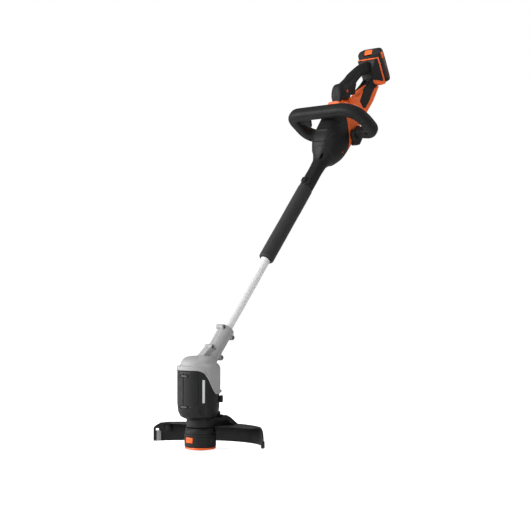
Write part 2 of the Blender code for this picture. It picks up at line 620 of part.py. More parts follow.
def shells():
    wall = 3 * MM
    cavity = loft("body_cavity", shrunk(BODY[2:-1], wall))
    nose_bore = cylinder("nose_bore", OUTER_TUBE_RADIUS + GAP, 105 * MM, at=(0, 0, 690 * MM),
                         parent=shaft_frame, sides=STEPS)
    below = seam_box(False)
    above = seam_box(True)
    strut = side_plate("strut_solid", [STRUT], -GRIP_HALF_WIDTH, GRIP_HALF_WIDTH)
    for side in ("left", "right"):
        front = loft("front_housing_" + side, BODY, BLACK)
        combine(front, cavity)
        combine(front, nose_bore)
        combine(front, below, "INTERSECT")
        combine(front, HALVES[side], "INTERSECT")
        rear = loft("body_shell_" + side, BODY, ORANGE)
        combine(rear, strut, "UNION")
        combine(rear, cavity)
        combine(rear, above, "INTERSECT")
        combine(rear, HALVES[side], "INTERSECT")
        inlay = side_plate("strut_inlay_" + side, [[(0, 957 * MM, 5 * MM), (29 * MM, 960 * MM, 5 * MM),
                                                    (30 * MM, 1012 * MM, 8 * MM),
                                                    (24 * MM, 1048 * MM, 3 * MM),
                                                    (12.5 * MM, 1044 * MM, 3 * MM),
                                                    (8 * MM, 1024 * MM, 8 * MM), (0, 1000 * MM, 8 * MM)]],
                           *sorted((SIGN[side] * (GRIP_HALF_WIDTH + GAP),
                                    SIGN[side] * (GRIP_HALF_WIDTH + 2 * MM))), SOFT_BLACK)
        inlay.data.shade_flat()


GRIP = [(-59 * MM, 905 * MM, radians(-38), 13 * MM, 13 * MM, 2.2),
        (-64 * MM, 914 * MM, radians(-32), 18 * MM, 17 * MM, 2.3),
        (-66 * MM, 932 * MM, radians(-12), 19.5 * MM, 19 * MM, 2.4),
        (-58.5 * MM, 958 * MM, radians(12), 18.5 * MM, 18.5 * MM, 2.4),
        (-52 * MM, 985 * MM, radians(11), 17.5 * MM, 17.5 * MM, 2.3),
        (-49 * MM, 1010 * MM, radians(12), 17 * MM, GRIP_HALF_WIDTH, 2.3),
        (-41 * MM, 1038 * MM, radians(12), 17.5 * MM, GRIP_HALF_WIDTH, 2.3),
        (-28.5 * MM, 1072.5 * MM, radians(-50), 16.5 * MM, 18 * MM, 2.4)]


def grip():
    wall = 3 * MM
    cavity = loft("grip_cavity", shrunk(GRIP[:-1], wall))
    slot = side_plate("trigger_slot", [[(-48 * MM, 961 * MM, 0), (-20 * MM, 955 * MM, 0),
                                        (-16 * MM, 1001 * MM, 0), (-46 * MM, 1004 * MM, 0)]], -7.5 * MM,
                                        7.5 * MM)
    lock_hole = cylinder("lock_hole", 5.4 * MM, 60 * MM, at=(0, -57 * MM, 940 * MM),
                         turn=(0, radians(90), 0), parent=shaft_frame, sides=16)
    for side in ("left", "right"):
        shell = loft("grip_shell_" + side, GRIP, SOFT_BLACK)
        combine(shell, cavity)
        combine(shell, slot)
        combine(shell, lock_hole)
        combine(shell, HALVES[side], "INTERSECT")
    # the trigger turns on its upper end
    pivot = (-39 * MM, 998 * MM)
    outline = [(-6 * MM, 4 * MM, 2 * MM), (4 * MM, 4 * MM, 2 * MM), (10 * MM, -1 * MM, 3 * MM),
               (15 * MM, -14 * MM, 10 * MM), (24 * MM, -26 * MM, 3 * MM),
               (16 * MM, -36 * MM, 4 * MM), (0, -37 * MM, 2 * MM), (-6 * MM, -24 * MM, 4 * MM)]
    plate("trigger", [rounded(outline)], -6.8 * MM, 6.8 * MM, SOFT_BLACK, at=(0, *pivot), turn=SIDEWAYS,
          parent=shaft_frame)
    cylinder("lock_off_button", 4.9 * MM, 40 * MM, ORANGE, at=(0, -57 * MM, 940 * MM),
             turn=(0, radians(90), 0), parent=shaft_frame, sides=16)
    spring_at = (-4 * MM, -61 * MM, 966 * MM)
    swept("trigger_spring", [(spring_at[0] + x, spring_at[1] + z, spring_at[2] + y) for x, y,
                             z in coil(2.4 * MM, 2.4 * MM, 5, per_turn=8)],
          0.4 * MM, STEEL, parent=shaft_frame, sides=1)
    cuboid("power_switch", (14 * MM, 10 * MM, 24 * MM), BLACK, at=(0, -56 * MM, 985 * MM),
           turn=(radians(12), 0, 0), parent=shaft_frame, rounding=0.6 * MM)


# ---------------------------------------------------------------- battery and its dock
def dock_frame():
    """An empty at the front end of the rails: its Y runs back along them, its Z points to the battery."""
    made = bpy.data.objects.new("dock_frame", None)
    made.parent = shaft_frame
    made.location = (0, -32 * MM, 1103 * MM)
    made.rotation_euler = (-DOCK_TILT, 0, 0)
    parts.objects.link(made)
    return made


DOCK_TOP = -5 * MM
DOCK_LOW = -30 * MM
DOCK_NARROWING = 0.5            # how much of its width the dock loses from its top to its lowest point


def dock_and_battery():
    rails = dock_frame()
    half = BATTERY_HALF_WIDTH
    outline = [(0.5 * MM, DOCK_TOP, 0), (2 * MM, -13 * MM, 3 * MM), (30 * MM, -28 * MM, 6 * MM),
               (62 * MM, DOCK_LOW, 6 * MM),
               (76 * MM, -18 * MM, 5 * MM), (76 * MM, DOCK_TOP, 0)]
    dock = plate("battery_dock", [rounded(outline)], -half, half, BLACK, turn=SIDEWAYS, parent=rails)
    for vertex in dock.data.vertices:
        vertex.co.z *= 1 - DOCK_NARROWING * (DOCK_TOP - vertex.co.y) / (DOCK_TOP - DOCK_LOW)
    # the channel under the battery is open at its front end, where the battery leaves
    combine(dock, cuboid("dock_channel", (50 * MM, 76 * MM, 20 * MM), at=(0, 28 * MM, -4.5 * MM),
                         parent=rails))
    rim = cuboid("dock_rim", (2 * half, 78 * MM, 4 * MM), ORANGE, at=(0, 38.5 * MM, -2.6 * MM),
                 parent=rails,
                 rounding=1 * MM)
    combine(rim, cuboid("rim_opening", (50 * MM, 76 * MM, 20 * MM), at=(0, 28 * MM, -2.6 * MM),
                        parent=rails))
    cuboid("terminal_block", (30 * MM, 10 * MM, 9 * MM), BLACK, at=(0, 59 * MM, -9.6 * MM), parent=rails,
           rounding=1 * MM)
    middle = BATTERY_FRONT + BATTERY_LENGTH / 2
    case = cuboid("battery_case", (2 * half, BATTERY_LENGTH, 14 * MM), BLACK, at=(0, middle, 7 * MM + GAP),
                  parent=rails, rounding=4 * MM)
    slide = cuboid("battery_slide", (49.2 * MM, 62 * MM, 12 * MM), at=(0, 33 * MM, -3 * MM), parent=rails)
    combine(case, slide, "UNION")
    terminal_room = cuboid("terminal_room", (31 * MM, 20 * MM, 12.5 * MM), at=(0, 63.4 * MM, -9.6 * MM),
                           parent=rails)
    combine(case, terminal_room)
    combine(case, cuboid("case_hollow", (67 * MM, 86 * MM, 12 * MM), at=(0, middle, 10.5 * MM),
                         parent=rails))
    cover = cuboid("battery_cover", (2 * half, BATTERY_LENGTH, 13 * MM), BLACK,
                   at=(0, middle, 21 * MM + GAP),
                   parent=rails, rounding=4 * MM)
    combine(cover, cuboid("cover_hollow", (67 * MM, 86 * MM, 12 * MM), at=(0, middle, 18 * MM),
                          parent=rails))
    cell_radius, cell_height, pitch = 8.6 * MM, 14.4 * MM, 17 * MM
    cells = cylinder("cell_pack", cell_radius, 65 * MM, CELL, at=(0, middle - 1.5 * pitch, cell_height),
                     turn=(0, radians(90), 0), parent=rails, sides=12)
    for i in range(1, 4):
        more = cylinder("cell_%d" % i, cell_radius, 65 * MM,
                        at=(0, middle + (i - 1.5) * pitch, cell_height),
                        turn=(0, radians(90), 0), parent=rails, sides=12)
        combine(cells, more, "UNION")
    # the front end's lower edge is cut off at 45 degrees, and the release button stands in a pocket there
    slope_side = 20 * MM
    slope_at = (0, BATTERY_FRONT + 5 * MM - slope_side / 2 * sin(radians(45)),
                5.4 * MM - slope_side / 2 * cos(radians(45)))
    combine(case, cuboid("nose_slope", (90 * MM, slope_side, slope_side), at=slope_at,
                         turn=(radians(45), 0, 0),
                         parent=rails))
    combine(case, cuboid("release_pocket", (35.2 * MM, 14 * MM, 14 * MM),
                         at=(0, BATTERY_FRONT + 5 * MM, 5.4 * MM),
                         parent=rails))
    button = [(BATTERY_FRONT + 8.8 * MM, 0.6 * MM), (BATTERY_FRONT + 8.8 * MM, 11.8 * MM),
              (BATTERY_FRONT + 0.1 * MM, 11.8 * MM), (BATTERY_FRONT + 0.1 * MM, 9.3 * MM)]
    plate("battery_release", [button], -17 * MM, 17 * MM, ORANGE, turn=SIDEWAYS, parent=rails)


# ---------------------------------------------------------------- loop handle
HUB = (18 * MM, 840 * MM)       # the hinge axis of the loop handle, in the shaft frame's (Y, Z)


def bent(corners, reaches, steps=5):
    """A route through the corners, each rounded over its reach."""
    route = [corners[0]]
    for before, here, after, reach in zip(corners, corners[1:], corners[2:], reaches):
        here = Vector(here)
        back = (Vector(before) - here).normalized()
        ahead = (Vector(after) - here).normalized()
        for i in range(steps + 1):
            along = i / steps
            route.append(tuple(here + back * reach * (1 - along) ** 2 + ahead * reach * along ** 2))
    return route + [corners[-1]]


def loop_route():
    """One closed line round the loop: the crossbar in front, two arms, and their ends at the hubs."""
    front, arm, drop = -81 * MM - HUB[0], LOOP_HALF_WIDTH, -6 * MM
    corners = [(-66 * MM, 0, 0), (-arm, 0, 0), (-arm, front, drop), (arm, front, drop), (arm, 0, 0),
               (66 * MM, 0, 0)]
    return corners


def loop_handle():
    route = bent(loop_route(), (22 * MM, 32 * MM, 32 * MM, 22 * MM))
    frame = bpy.data.objects.new("loop_frame", None)
    frame.parent = shaft_frame
    frame.location = (0, *HUB)
    parts.objects.link(frame)
    loop = swept("loop_handle", route, LOOP_RADIUS, SOFT_BLACK, parent=frame, sides=3)
    button_at = (LOOP_HALF_WIDTH + LOOP_RADIUS - 3 * MM, -34 * MM, -2 * MM)
    turn = (0, radians(90), 0)
    combine(loop, cylinder("angle_button_hole", 7.4 * MM, 12 * MM, at=button_at, turn=turn, parent=frame,
                           sides=16))
    cylinder("angle_button", 7 * MM, 6 * MM, BLACK, at=(button_at[0] + 1 * MM, button_at[1], button_at[2]),
             turn=turn, parent=frame, sides=16)
    for side in ("left", "right"):
        x = SIGN[side]
        turn = (0, x * radians(90), 0)
        turned("handle_hub_" + side, [(0, 21 * MM), (20 * MM, 21 * MM), (24 * MM, 17 * MM), (24 * MM, 0),
                                      (0, 0)], BLACK,
               at=(x * (BODY_HALF_WIDTH + GAP), *HUB), turn=turn, parent=shaft_frame, steps=28)


cap()
spool()
spool_housing()
motor()
barrel()
head_cover()
guard()
shaft()
control_board()
shells()
grip()
dock_and_battery()
loop_handle()
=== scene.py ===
"""Looks for a cordless string trimmer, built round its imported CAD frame.

Shapes are modelled in millimetres in one of the frames below, and piece() puts them in the row frame in
metres. The shaft frame's Z runs up the shaft, and its Y is square to it on the side of the ground. The rail
frame's Y runs along the battery's rails, and its Z points to the battery.
"""
from math import atan2, copysign, cos, degrees, exp, hypot, pi, radians, sin, tan

import bmesh
import bpy
from mathutils import Matrix, Vector


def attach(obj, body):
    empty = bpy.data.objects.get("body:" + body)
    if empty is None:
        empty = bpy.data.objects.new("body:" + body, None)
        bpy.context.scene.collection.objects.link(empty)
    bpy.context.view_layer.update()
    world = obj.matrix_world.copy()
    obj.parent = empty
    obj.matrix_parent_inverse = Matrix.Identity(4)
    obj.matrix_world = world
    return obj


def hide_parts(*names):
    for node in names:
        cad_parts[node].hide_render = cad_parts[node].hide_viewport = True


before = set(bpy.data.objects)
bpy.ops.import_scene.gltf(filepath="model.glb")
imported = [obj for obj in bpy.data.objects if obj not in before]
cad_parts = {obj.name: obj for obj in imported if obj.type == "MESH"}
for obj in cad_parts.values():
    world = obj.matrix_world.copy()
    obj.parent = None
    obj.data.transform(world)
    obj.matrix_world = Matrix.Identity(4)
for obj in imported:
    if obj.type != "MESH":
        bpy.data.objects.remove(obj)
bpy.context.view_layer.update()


# ---------- frames and sizes
def to(x, y, z):
    return Matrix.Translation((x, y, z))


def turned(degrees_round, axis):
    return Matrix.Rotation(radians(degrees_round), 4, axis)


MM = 0.001
LEAN = 39.5                     # the shaft's lean in degrees
DOCK_TILT = 25                  # the rails' tilt against the shaft in degrees
WORLD = Matrix.Identity(4)
BARREL = to(0, -6.5, 77)
SHAFT = to(0, 3.4, 184.2) @ turned(-LEAN, "X")
RAILS = SHAFT @ to(0, -32, 1103) @ turned(-DOCK_TILT, "X")
HUBS = SHAFT @ to(0, 18, 840)
ALONG_X = turned(90, "Y")
UPRIGHT = turned(90, "X")
SIDEWAYS = turned(90, "Z") @ UPRIGHT

BARREL_RADIUS = 51.1
BARREL_HEIGHT = 120
COVER_RADIUS = 53.5
CAP_RADIUS = 39
TUBE_RADIUS = 12.7
SLEEVE_LOW, SLEEVE_HIGH = 370, 622
BAY_SIZE = (50, 76, 20)         # the room for the rails, inside the dock
GUARD_HALF_WIDTH = 190
GUARD_TOP = 57
GUARD_BOTTOM = 11.5
SEAM = 0.5                      # half the width of a parting line
SIDES = (("left", -1), ("right", 1))


# ---------- shape helpers (millimetres)
def smoothstep(low, high, value):
    part = min(1, max(0, (value - low) / (high - low)))
    return part * part * (3 - 2 * part)


def bell(value, centre, width):
    return exp(-((value - centre) / width) ** 2)


def between(table, place):
    """Smooth values at a place along a table of rows (place, value, value, ...)."""
    last = len(table) - 1
    i = 0
    while i < last - 1 and place > table[i + 1][0]:
        i += 1
    before, start, end, after = table[max(0, i - 1)], table[i], table[i + 1], table[min(last, i + 2)]
    step = end[0] - start[0]
    part = min(1, max(0, (place - start[0]) / step))
    square, cube = part ** 2, part ** 3
    values = []
    for k in range(1, len(start)):
        slope_in = (end[k] - before[k]) / (end[0] - before[0]) * step
        slope_out = (after[k] - start[k]) / (after[0] - start[0]) * step
        values.append((2 * cube - 3 * square + 1) * start[k] + (cube - 2 * square + part) * slope_in
                      + (3 * square - 2 * cube) * end[k] + (cube - square) * slope_out)
    return values


def resampled(route, spacing):
    points = [route[0]]
    for start, end in zip(route, route[1:]):
        parts = max(1, round((end - start).length / spacing))
        points += [start.lerp(end, (k + 1) / parts) for k in range(parts)]
    return points


def ring(radius, z, count):
    """Points round a circle at a height."""
    return [(radius * cos(2 * pi * i / count), radius * sin(2 * pi * i / count), z) for i in range(count)]


def squircle(half_x, half_y, power, count):
    """Points round a rounded rectangle. Power 2 gives an ellipse, and a higher power is squarer."""
    points = []
    for i in range(count):
        angle = 2 * pi * i / count
        across, up = cos(angle), sin(angle)
        points.append((copysign(abs(across) ** (2 / power), across) * half_x,
                       copysign(abs(up) ** (2 / power), up) * half_y))
    return points


def rounded(corners, facets=6):
    """The points of an outline whose corners (x, y, radius) are rounded off."""
    points = []
    for i, (x, y, radius) in enumerate(corners):
        here = Vector((x, y))
        if not radius:
            points.append(here)
            continue
        back = (Vector(corners[i - 1][:2]) - here).normalized()
        ahead = (Vector(corners[(i + 1) % len(corners)][:2]) - here).normalized()
        half_angle = back.angle(ahead) / 2
        centre = here + (back + ahead).normalized() * (radius / sin(half_angle))
        first = here + back * (radius / tan(half_angle)) - centre
        last = here + ahead * (radius / tan(half_angle)) - centre
        sweep = atan2(first.x * last.y - first.y * last.x, first.dot(last))
        for step in range(facets + 1):
            points.append(centre + Matrix.Rotation(sweep * step / facets, 2) @ first)
    return points


def grid(rows, wrap=True, start_cap=False, end_cap=False, join_rows=False):
    """Joins rows of points into quads. With wrap each row closes on itself."""
    shape = bmesh.new()
    made = [[shape.verts.new(point) for point in row] for row in rows]
    count = len(rows[0])
    pairs = list(zip(made, made[1:]))
    if join_rows:
        pairs.append((made[-1], made[0]))
    for lower, upper in pairs:
        for i in range(count if wrap else count - 1):
            j = (i + 1) % count
            shape.faces.new((lower[i], lower[j], upper[j], upper[i]))
    if start_cap:
        shape.faces.new(made[0][::-1])
    if end_cap:
        shape.faces.new(made[-1])
    return shape


def revolved(corners, steps=96, hollow=False):
    """Turns an outline of corners (radius, height, rounding) about Z. A hollow one stays off the axis."""
    if not hollow:
        corners = [(0, corners[0][1], 0)] + corners + [(0, corners[-1][1], 0)]
    shape = grid([ring(radius, height, steps) for radius, height in rounded(corners)], join_rows=hollow)
    bmesh.ops.remove_doubles(shape, verts=shape.verts[:], dist=0.001)
    return tidied(shape)


def extruded(outline, low, high, edge=0.0, segments=3):
    """A flat piece over its own plane, with its rims rounded by edge."""
    shape = bmesh.new()
    floor = shape.faces.new([shape.verts.new((x, y, low)) for x, y in outline])
    lifted = bmesh.ops.extrude_face_region(shape, geom=[floor])["geom"]
    tops = [item for item in lifted if isinstance(item, bmesh.types.BMVert)]
    bmesh.ops.translate(shape, verts=tops, vec=(0, 0, high - low))
    tidied(shape)
    return beveled_rims(shape, edge, segments)


def plate(outline, low, high, edge=0.0, segments=3, facets=6):
    """A flat piece seen from the side: rounded corners (y, z, radius), and low and high are its X."""
    return moved(extruded(rounded(outline, facets), low, high, edge, segments), SIDEWAYS)


def beveled_rims(shape, edge, segments=3):
    """Rounds the edges at the two ends of a shape along Z."""
    if edge:
        rims = [e for e in shape.edges if abs(e.verts[0].co.z - e.verts[1].co.z) < 1e-6]
        bmesh.ops.bevel(shape, geom=rims, offset=edge, segments=segments, affect="EDGES", profile=0.5)
    return shape


def block(size, edge=0.0, segments=3):
    shape = bmesh.new()
    bmesh.ops.create_cube(shape, size=1, matrix=Matrix.Diagonal((*size, 1)))
    if edge:
        bmesh.ops.bevel(shape, geom=shape.edges[:], offset=edge, segments=segments, affect="EDGES",
                        profile=0.5)
    return shape


def rod(radius, length, edge=0.0, steps=48, tip_radius=None):
    """A rod centred on its frame's origin, along Z."""
    shape = bmesh.new()
    bmesh.ops.create_cone(shape, cap_ends=True, segments=steps, radius1=radius,
                          radius2=radius if tip_radius is None else tip_radius, depth=length)
    return beveled_rims(shape, edge)


def tidied(shape):
    bmesh.ops.recalc_face_normals(shape, faces=shape.faces[:])
    return shape


def moved(shape, matrix):
    bmesh.ops.transform(shape, matrix=matrix, verts=shape.verts[:])
    return shape


def lofted(table, steps, points, low=None):
    """Skins a table of sections (z, y, tilt, half depth, half width, power), smooth between them."""
    low = table[0][0] if low is None else low
    high = table[-1][0]
    rows = []
    for step in range(steps + 1):
        z = low + (high - low) * step / steps
        y, tilt, depth, width, power = between(table, z)
        rows.append([(across, y + out * cos(tilt), z + out * sin(tilt))
                     for across, out in squircle(width, depth, power, points)])
    return rows


def sculpted(shape, depth_at):
    """Moves each vertex along its normal by depth_at(place, normal)."""
    shape.normal_update()
    moves = [(vertex, vertex.normal * depth_at(vertex.co, vertex.normal)) for vertex in shape.verts]
    for vertex, move in moves:
        vertex.co += move
    return shape


def box(size, place, edge=0.0, segments=3):
    return moved(block(size, edge, segments), to(*place))


def pin(radius, length, place, edge=0.0, steps=48):
    """A rod along X, centred on a place."""
    return moved(rod(radius, length, edge, steps), to(*place) @ ALONG_X)


def mesh_of(shape, name="helper"):
    data = bpy.data.meshes.new(name)
    shape.to_mesh(data)
    shape.free()
    return data


def shown(name, data):
    made = bpy.data.objects.new(name, data)
    bpy.context.scene.collection.objects.link(made)
    return made


def joined(*shapes):
    """One shape with the others' pieces in it, left as they are."""
    whole = bmesh.new()
    for shape in shapes:
        data = mesh_of(shape)
        whole.from_mesh(data)
        bpy.data.meshes.remove(data)
    return whole


def changed(shape, modifiers, helpers=()):
    """The shape with modifiers applied, each a kind and its settings."""
    base = shown("helper", mesh_of(shape))
    for kind, settings in modifiers:
        modifier = base.modifiers.new(kind, kind)
        for key, value in settings.items():
            setattr(modifier, key, value)
    data = bpy.data.meshes.new_from_object(base.evaluated_get(bpy.context.evaluated_depsgraph_get()))
    result = bmesh.new()
    result.from_mesh(data)
    bpy.data.meshes.remove(data)
    for used in (base, *helpers):
        data = used.data
        bpy.data.objects.remove(used)
        bpy.data.meshes.remove(data)
    return result


def combined(shape, tools, operation="DIFFERENCE"):
    """Cuts the tools out of the shape, or adds them with UNION."""
    helpers = [shown("helper", mesh_of(tool)) for tool in tools]
    settings = {"operation": operation, "solver": "EXACT"}
    return changed(shape, [("BOOLEAN", {**settings, "object": helper}) for helper in helpers], helpers)


def melted(shape, voxel, smoothing, keep):
    """Welds overlapping closed shapes into one skin whose inner corners are filleted."""
    return changed(shape, [("REMESH", {"mode": "VOXEL", "voxel_size": voxel}),
                           ("SMOOTH", {"factor": 0.5, "iterations": smoothing}),
                           ("DECIMATE", {"ratio": keep})])


def piece(name, shape, material, body, replaces=(), at=WORLD, sharp=38):
    """An object in the row frame that rides on a CAD body and stands for CAD nodes."""
    data = mesh_of(shape, name)
    data.transform(Matrix.Diagonal((MM, MM, MM, 1)) @ at)
    data.shade_smooth()
    data.set_sharp_from_angle(angle=radians(sharp))
    data.materials.append(material)
    made = shown(name, data)
    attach(made, body)
    if replaces:
        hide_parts(*replaces)
    return made


# ---------- materials
class Nodes:
    """Builds one material's node tree from the Principled shader outwards."""

    def __init__(self, name):
        self.material = bpy.data.materials.new(name)
        self.material.use_nodes = True
        self.tree = self.material.node_tree
        self.shader = self.tree.nodes["Principled BSDF"]
        self.place = self.add("TexCoord").outputs["Object"]

    def add(self, kind, **inputs):
        node = self.tree.nodes.new("ShaderNode" + kind)
        for key, value in inputs.items():
            self.set(node.inputs[key.replace("_", " ")], value)
        return node

    def set(self, socket, value):
        if isinstance(value, bpy.types.NodeSocket):
            self.tree.links.new(value, socket)
        else:
            socket.default_value = value

    def finished(self, colour, roughness, **inputs):
        """Sets the shader's inputs and gives the material."""
        for key, value in {"Base Color": colour, "Roughness": roughness, **inputs}.items():
            self.set(self.shader.inputs[key.replace("_", " ")], value)
        return self.material

    def stretched(self, scale, turn=(0, 0, 0)):
        turned = self.add("Mapping", Vector=self.place, Rotation=turn).outputs["Vector"]
        return self.add("Mapping", Vector=turned, Scale=scale).outputs["Vector"]

    def noise(self, scale, detail=2.0, roughness=0.5, place=None):
        node = self.add("TexNoise", Vector=place or self.place, Scale=scale, Detail=detail,
                        Roughness=roughness)
        return node.outputs["Fac"]

    def ranged(self, value, low, high, new_low, new_high):
        node = self.add("MapRange", Value=value, From_Min=low, From_Max=high, To_Min=new_low, To_Max=new_high)
        return node.outputs["Result"]

    def clouds(self, scale, place=None):
        """Soft patches, as a factor from 0 to 1."""
        return self.ranged(self.noise(scale, 3, place=place), 0.3, 0.7, 0, 1)

    def mixed(self, factor, first, second):
        node = self.add("Mix")
        node.data_type = "RGBA"
        self.set(node.inputs["Factor"], factor)
        self.set(node.inputs[6], first)
        self.set(node.inputs[7], second)
        return node.outputs[2]

    def bump(self, height, distance, strength=1.0, under=None):
        node = self.add("Bump", Height=height, Distance=distance, Strength=strength)
        if under:
            self.tree.links.new(under, node.inputs["Normal"])
        return node.outputs["Normal"]

    def worn_edges(self, colour, light, strength):
        """Lightens the convex edges, where handling polishes them."""
        convex = self.add("NewGeometry").outputs["Pointiness"]
        return self.mixed(self.ranged(convex, 0.52, 0.60, 0.0, strength), colour, light)


def shade(colour, factor):
    return (*(min(1, part * factor) for part in colour), 1)


def moulded(name, colour, roughness, grain=2600, grain_depth=0.00003, mottle=0.06, wear=0.25, specular=0.4):
    """Moulded plastic: a fine spark-eroded grain, faint flow marks, uneven gloss and rubbed edges."""
    nodes = Nodes(name)
    flow = nodes.clouds(14, place=nodes.stretched((1, 1, 0.45), (radians(LEAN), 0, 0)))
    tone = nodes.mixed(flow, shade(colour, 1 - mottle), shade(colour, 1 + mottle))
    tone = nodes.worn_edges(tone, shade([part + 0.03 for part in colour], 1.25), wear)
    smudge = nodes.noise(55, 4, 0.6)
    gloss = nodes.ranged(smudge, 0.25, 0.75, roughness - 0.06, roughness + 0.07)
    coarse = nodes.bump(nodes.noise(grain * 0.28, 2), grain_depth * 1.3, 0.35)
    fine = nodes.bump(nodes.noise(grain, 2), grain_depth, 0.6, under=coarse)
    return nodes.finished(tone, gloss, Normal=fine, Specular_IOR_Level=specular)


def foam(name, colour):
    """Closed-cell foam: open little pores, matt, with a faint sheen at grazing angles."""
    nodes = Nodes(name)
    pores = nodes.add("TexVoronoi", Vector=nodes.place, Scale=760.0).outputs["Distance"]
    tone = nodes.mixed(nodes.clouds(30), shade(colour, 0.85), shade(colour, 1.2))
    gloss = nodes.ranged(pores, 0, 0.8, 0.62, 0.78)
    ripple = nodes.bump(nodes.noise(120, 2), 0.0002, 0.4)
    cells = nodes.bump(pores, 0.00012, 0.5, under=ripple)
    return nodes.finished(tone, gloss, Normal=cells, Sheen_Weight=0.12, Sheen_Roughness=0.4)


def metal(name, colour, roughness, stretch, turn=(0, 0, 0), metallic=1.0, grain=0.00001):
    """Drawn or brushed metal, with fine lines along one direction."""
    nodes = Nodes(name)
    lines = nodes.noise(1, 3, place=nodes.stretched(stretch, turn))
    tone = nodes.mixed(nodes.clouds(9), shade(colour, 0.96), shade(colour, 1.03))
    gloss = nodes.ranged(lines, 0.2, 0.8, roughness - 0.07, roughness + 0.08)
    brushed = nodes.bump(lines, grain, 0.5)
    return nodes.finished(tone, gloss, Normal=brushed, Metallic=metallic)


def wound(name, colour, groove_shade, turns, metallic=0.0):
    """Line or wire wound in turns round Z, with painted shade darkening the grooves between turns."""
    nodes = Nodes(name)
    wave = nodes.add("TexWave", Vector=nodes.place, Scale=turns, Distortion=0.6, Detail_Scale=40)
    wave.bands_direction = "Z"
    height = wave.outputs["Fac"]
    # painted shade: the low parts of the wave, between the turns, take the darker colour
    tone = nodes.mixed(height, (*groove_shade, 1), (*colour, 1))
    gloss = nodes.ranged(height, 0, 1, 0.55, 0.32)
    return nodes.finished(tone, gloss, Normal=nodes.bump(height, 0.0006, 0.8), Metallic=metallic)


def board(name):
    """A coated circuit board with traces and pads."""
    nodes = Nodes(name)
    cells = nodes.add("TexBrick", Vector=nodes.stretched((1, 1, 1), (radians(LEAN), 0, 0)),
                      Scale=70.0, Color1=(0.02, 0.14, 0.06, 1), Color2=(0.03, 0.20, 0.08, 1),
                      Mortar=(0.45, 0.40, 0.12, 1))
    gloss = nodes.ranged(nodes.noise(90), 0.3, 0.7, 0.3, 0.45)
    return nodes.finished(cells.outputs["Color"], gloss, Normal=nodes.bump(cells.outputs["Fac"], 0.0003, 0.5))


DARK = (0.0088, 0.0090, 0.0093)
BLACK = moulded("black_plastic", DARK, 0.50, specular=0.26)
BARREL_BLACK = moulded("barrel_black", DARK, 0.46, grain=3200, grain_depth=0.00002, specular=0.26)
GRIP = moulded("soft_grip", (0.0088, 0.0089, 0.0092), 0.60, grain=1500, grain_depth=0.00005, wear=0.15,
               specular=0.26)
GRAY = moulded("gray_plastic", (0.35, 0.35, 0.355), 0.52, mottle=0.02, wear=0.12, specular=0.22)
ORANGE = moulded("orange_plastic", (1.0, 0.140, 0.014), 0.36, mottle=0.03, wear=0.10)
LOCK_RED = moulded("lock_red", (0.50, 0.055, 0.014), 0.40, mottle=0.03, wear=0.10)
LABEL = moulded("pale_print", (0.62, 0.62, 0.63), 0.45, mottle=0.02, wear=0.0)
DARK_GRAY = moulded("vent_gray", (0.055, 0.055, 0.056), 0.40, mottle=0.02, wear=0.1)
# a dark label for the battery's sides, its brown tint a painted reflection of orange
REFLECTION_TINTED_LABEL = moulded("label_with_painted_reflection", (0.085, 0.030, 0.018), 0.30, mottle=0.05, wear=0.1)
FOAM = foam("foam", (0.0140, 0.0140, 0.0145))
ALUMINIUM = metal("aluminium", (0.82, 0.82, 0.815), 0.56, (300, 300, 3), (radians(LEAN), 0, 0), 0.0, 0.000001)
STEEL = metal("steel", (0.26, 0.26, 0.27), 0.44, (600, 600, 600))
BLADE = metal("blade_steel", (0.30, 0.30, 0.31), 0.42, (60, 60, 1500))
COPPER = wound("copper", (0.78, 0.36, 0.17), (0.25, 0.09, 0.04), 400, metallic=1.0)
LINE = wound("nylon_line", (0.74, 0.74, 0.68), (0.25, 0.25, 0.22), 140)
BOARD = board("circuit_board")
CELL = moulded("cell_wrap", (0.08, 0.20, 0.40), 0.28, mottle=0.08, wear=0.0)


# ---------- small hardware
def screw_head(radius, height):
    """A pan head with a six-sided socket, its seat at the origin and its top towards +Z."""
    head = revolved([(radius, 0, 0.2), (radius, height * 0.55, height * 0.35), (radius * 0.62, height, 0.3)],
                    36)
    recess = rod(radius * 0.5, height * 1.3, steps=6)
    return combined(head, [moved(recess, to(0, 0, height))])


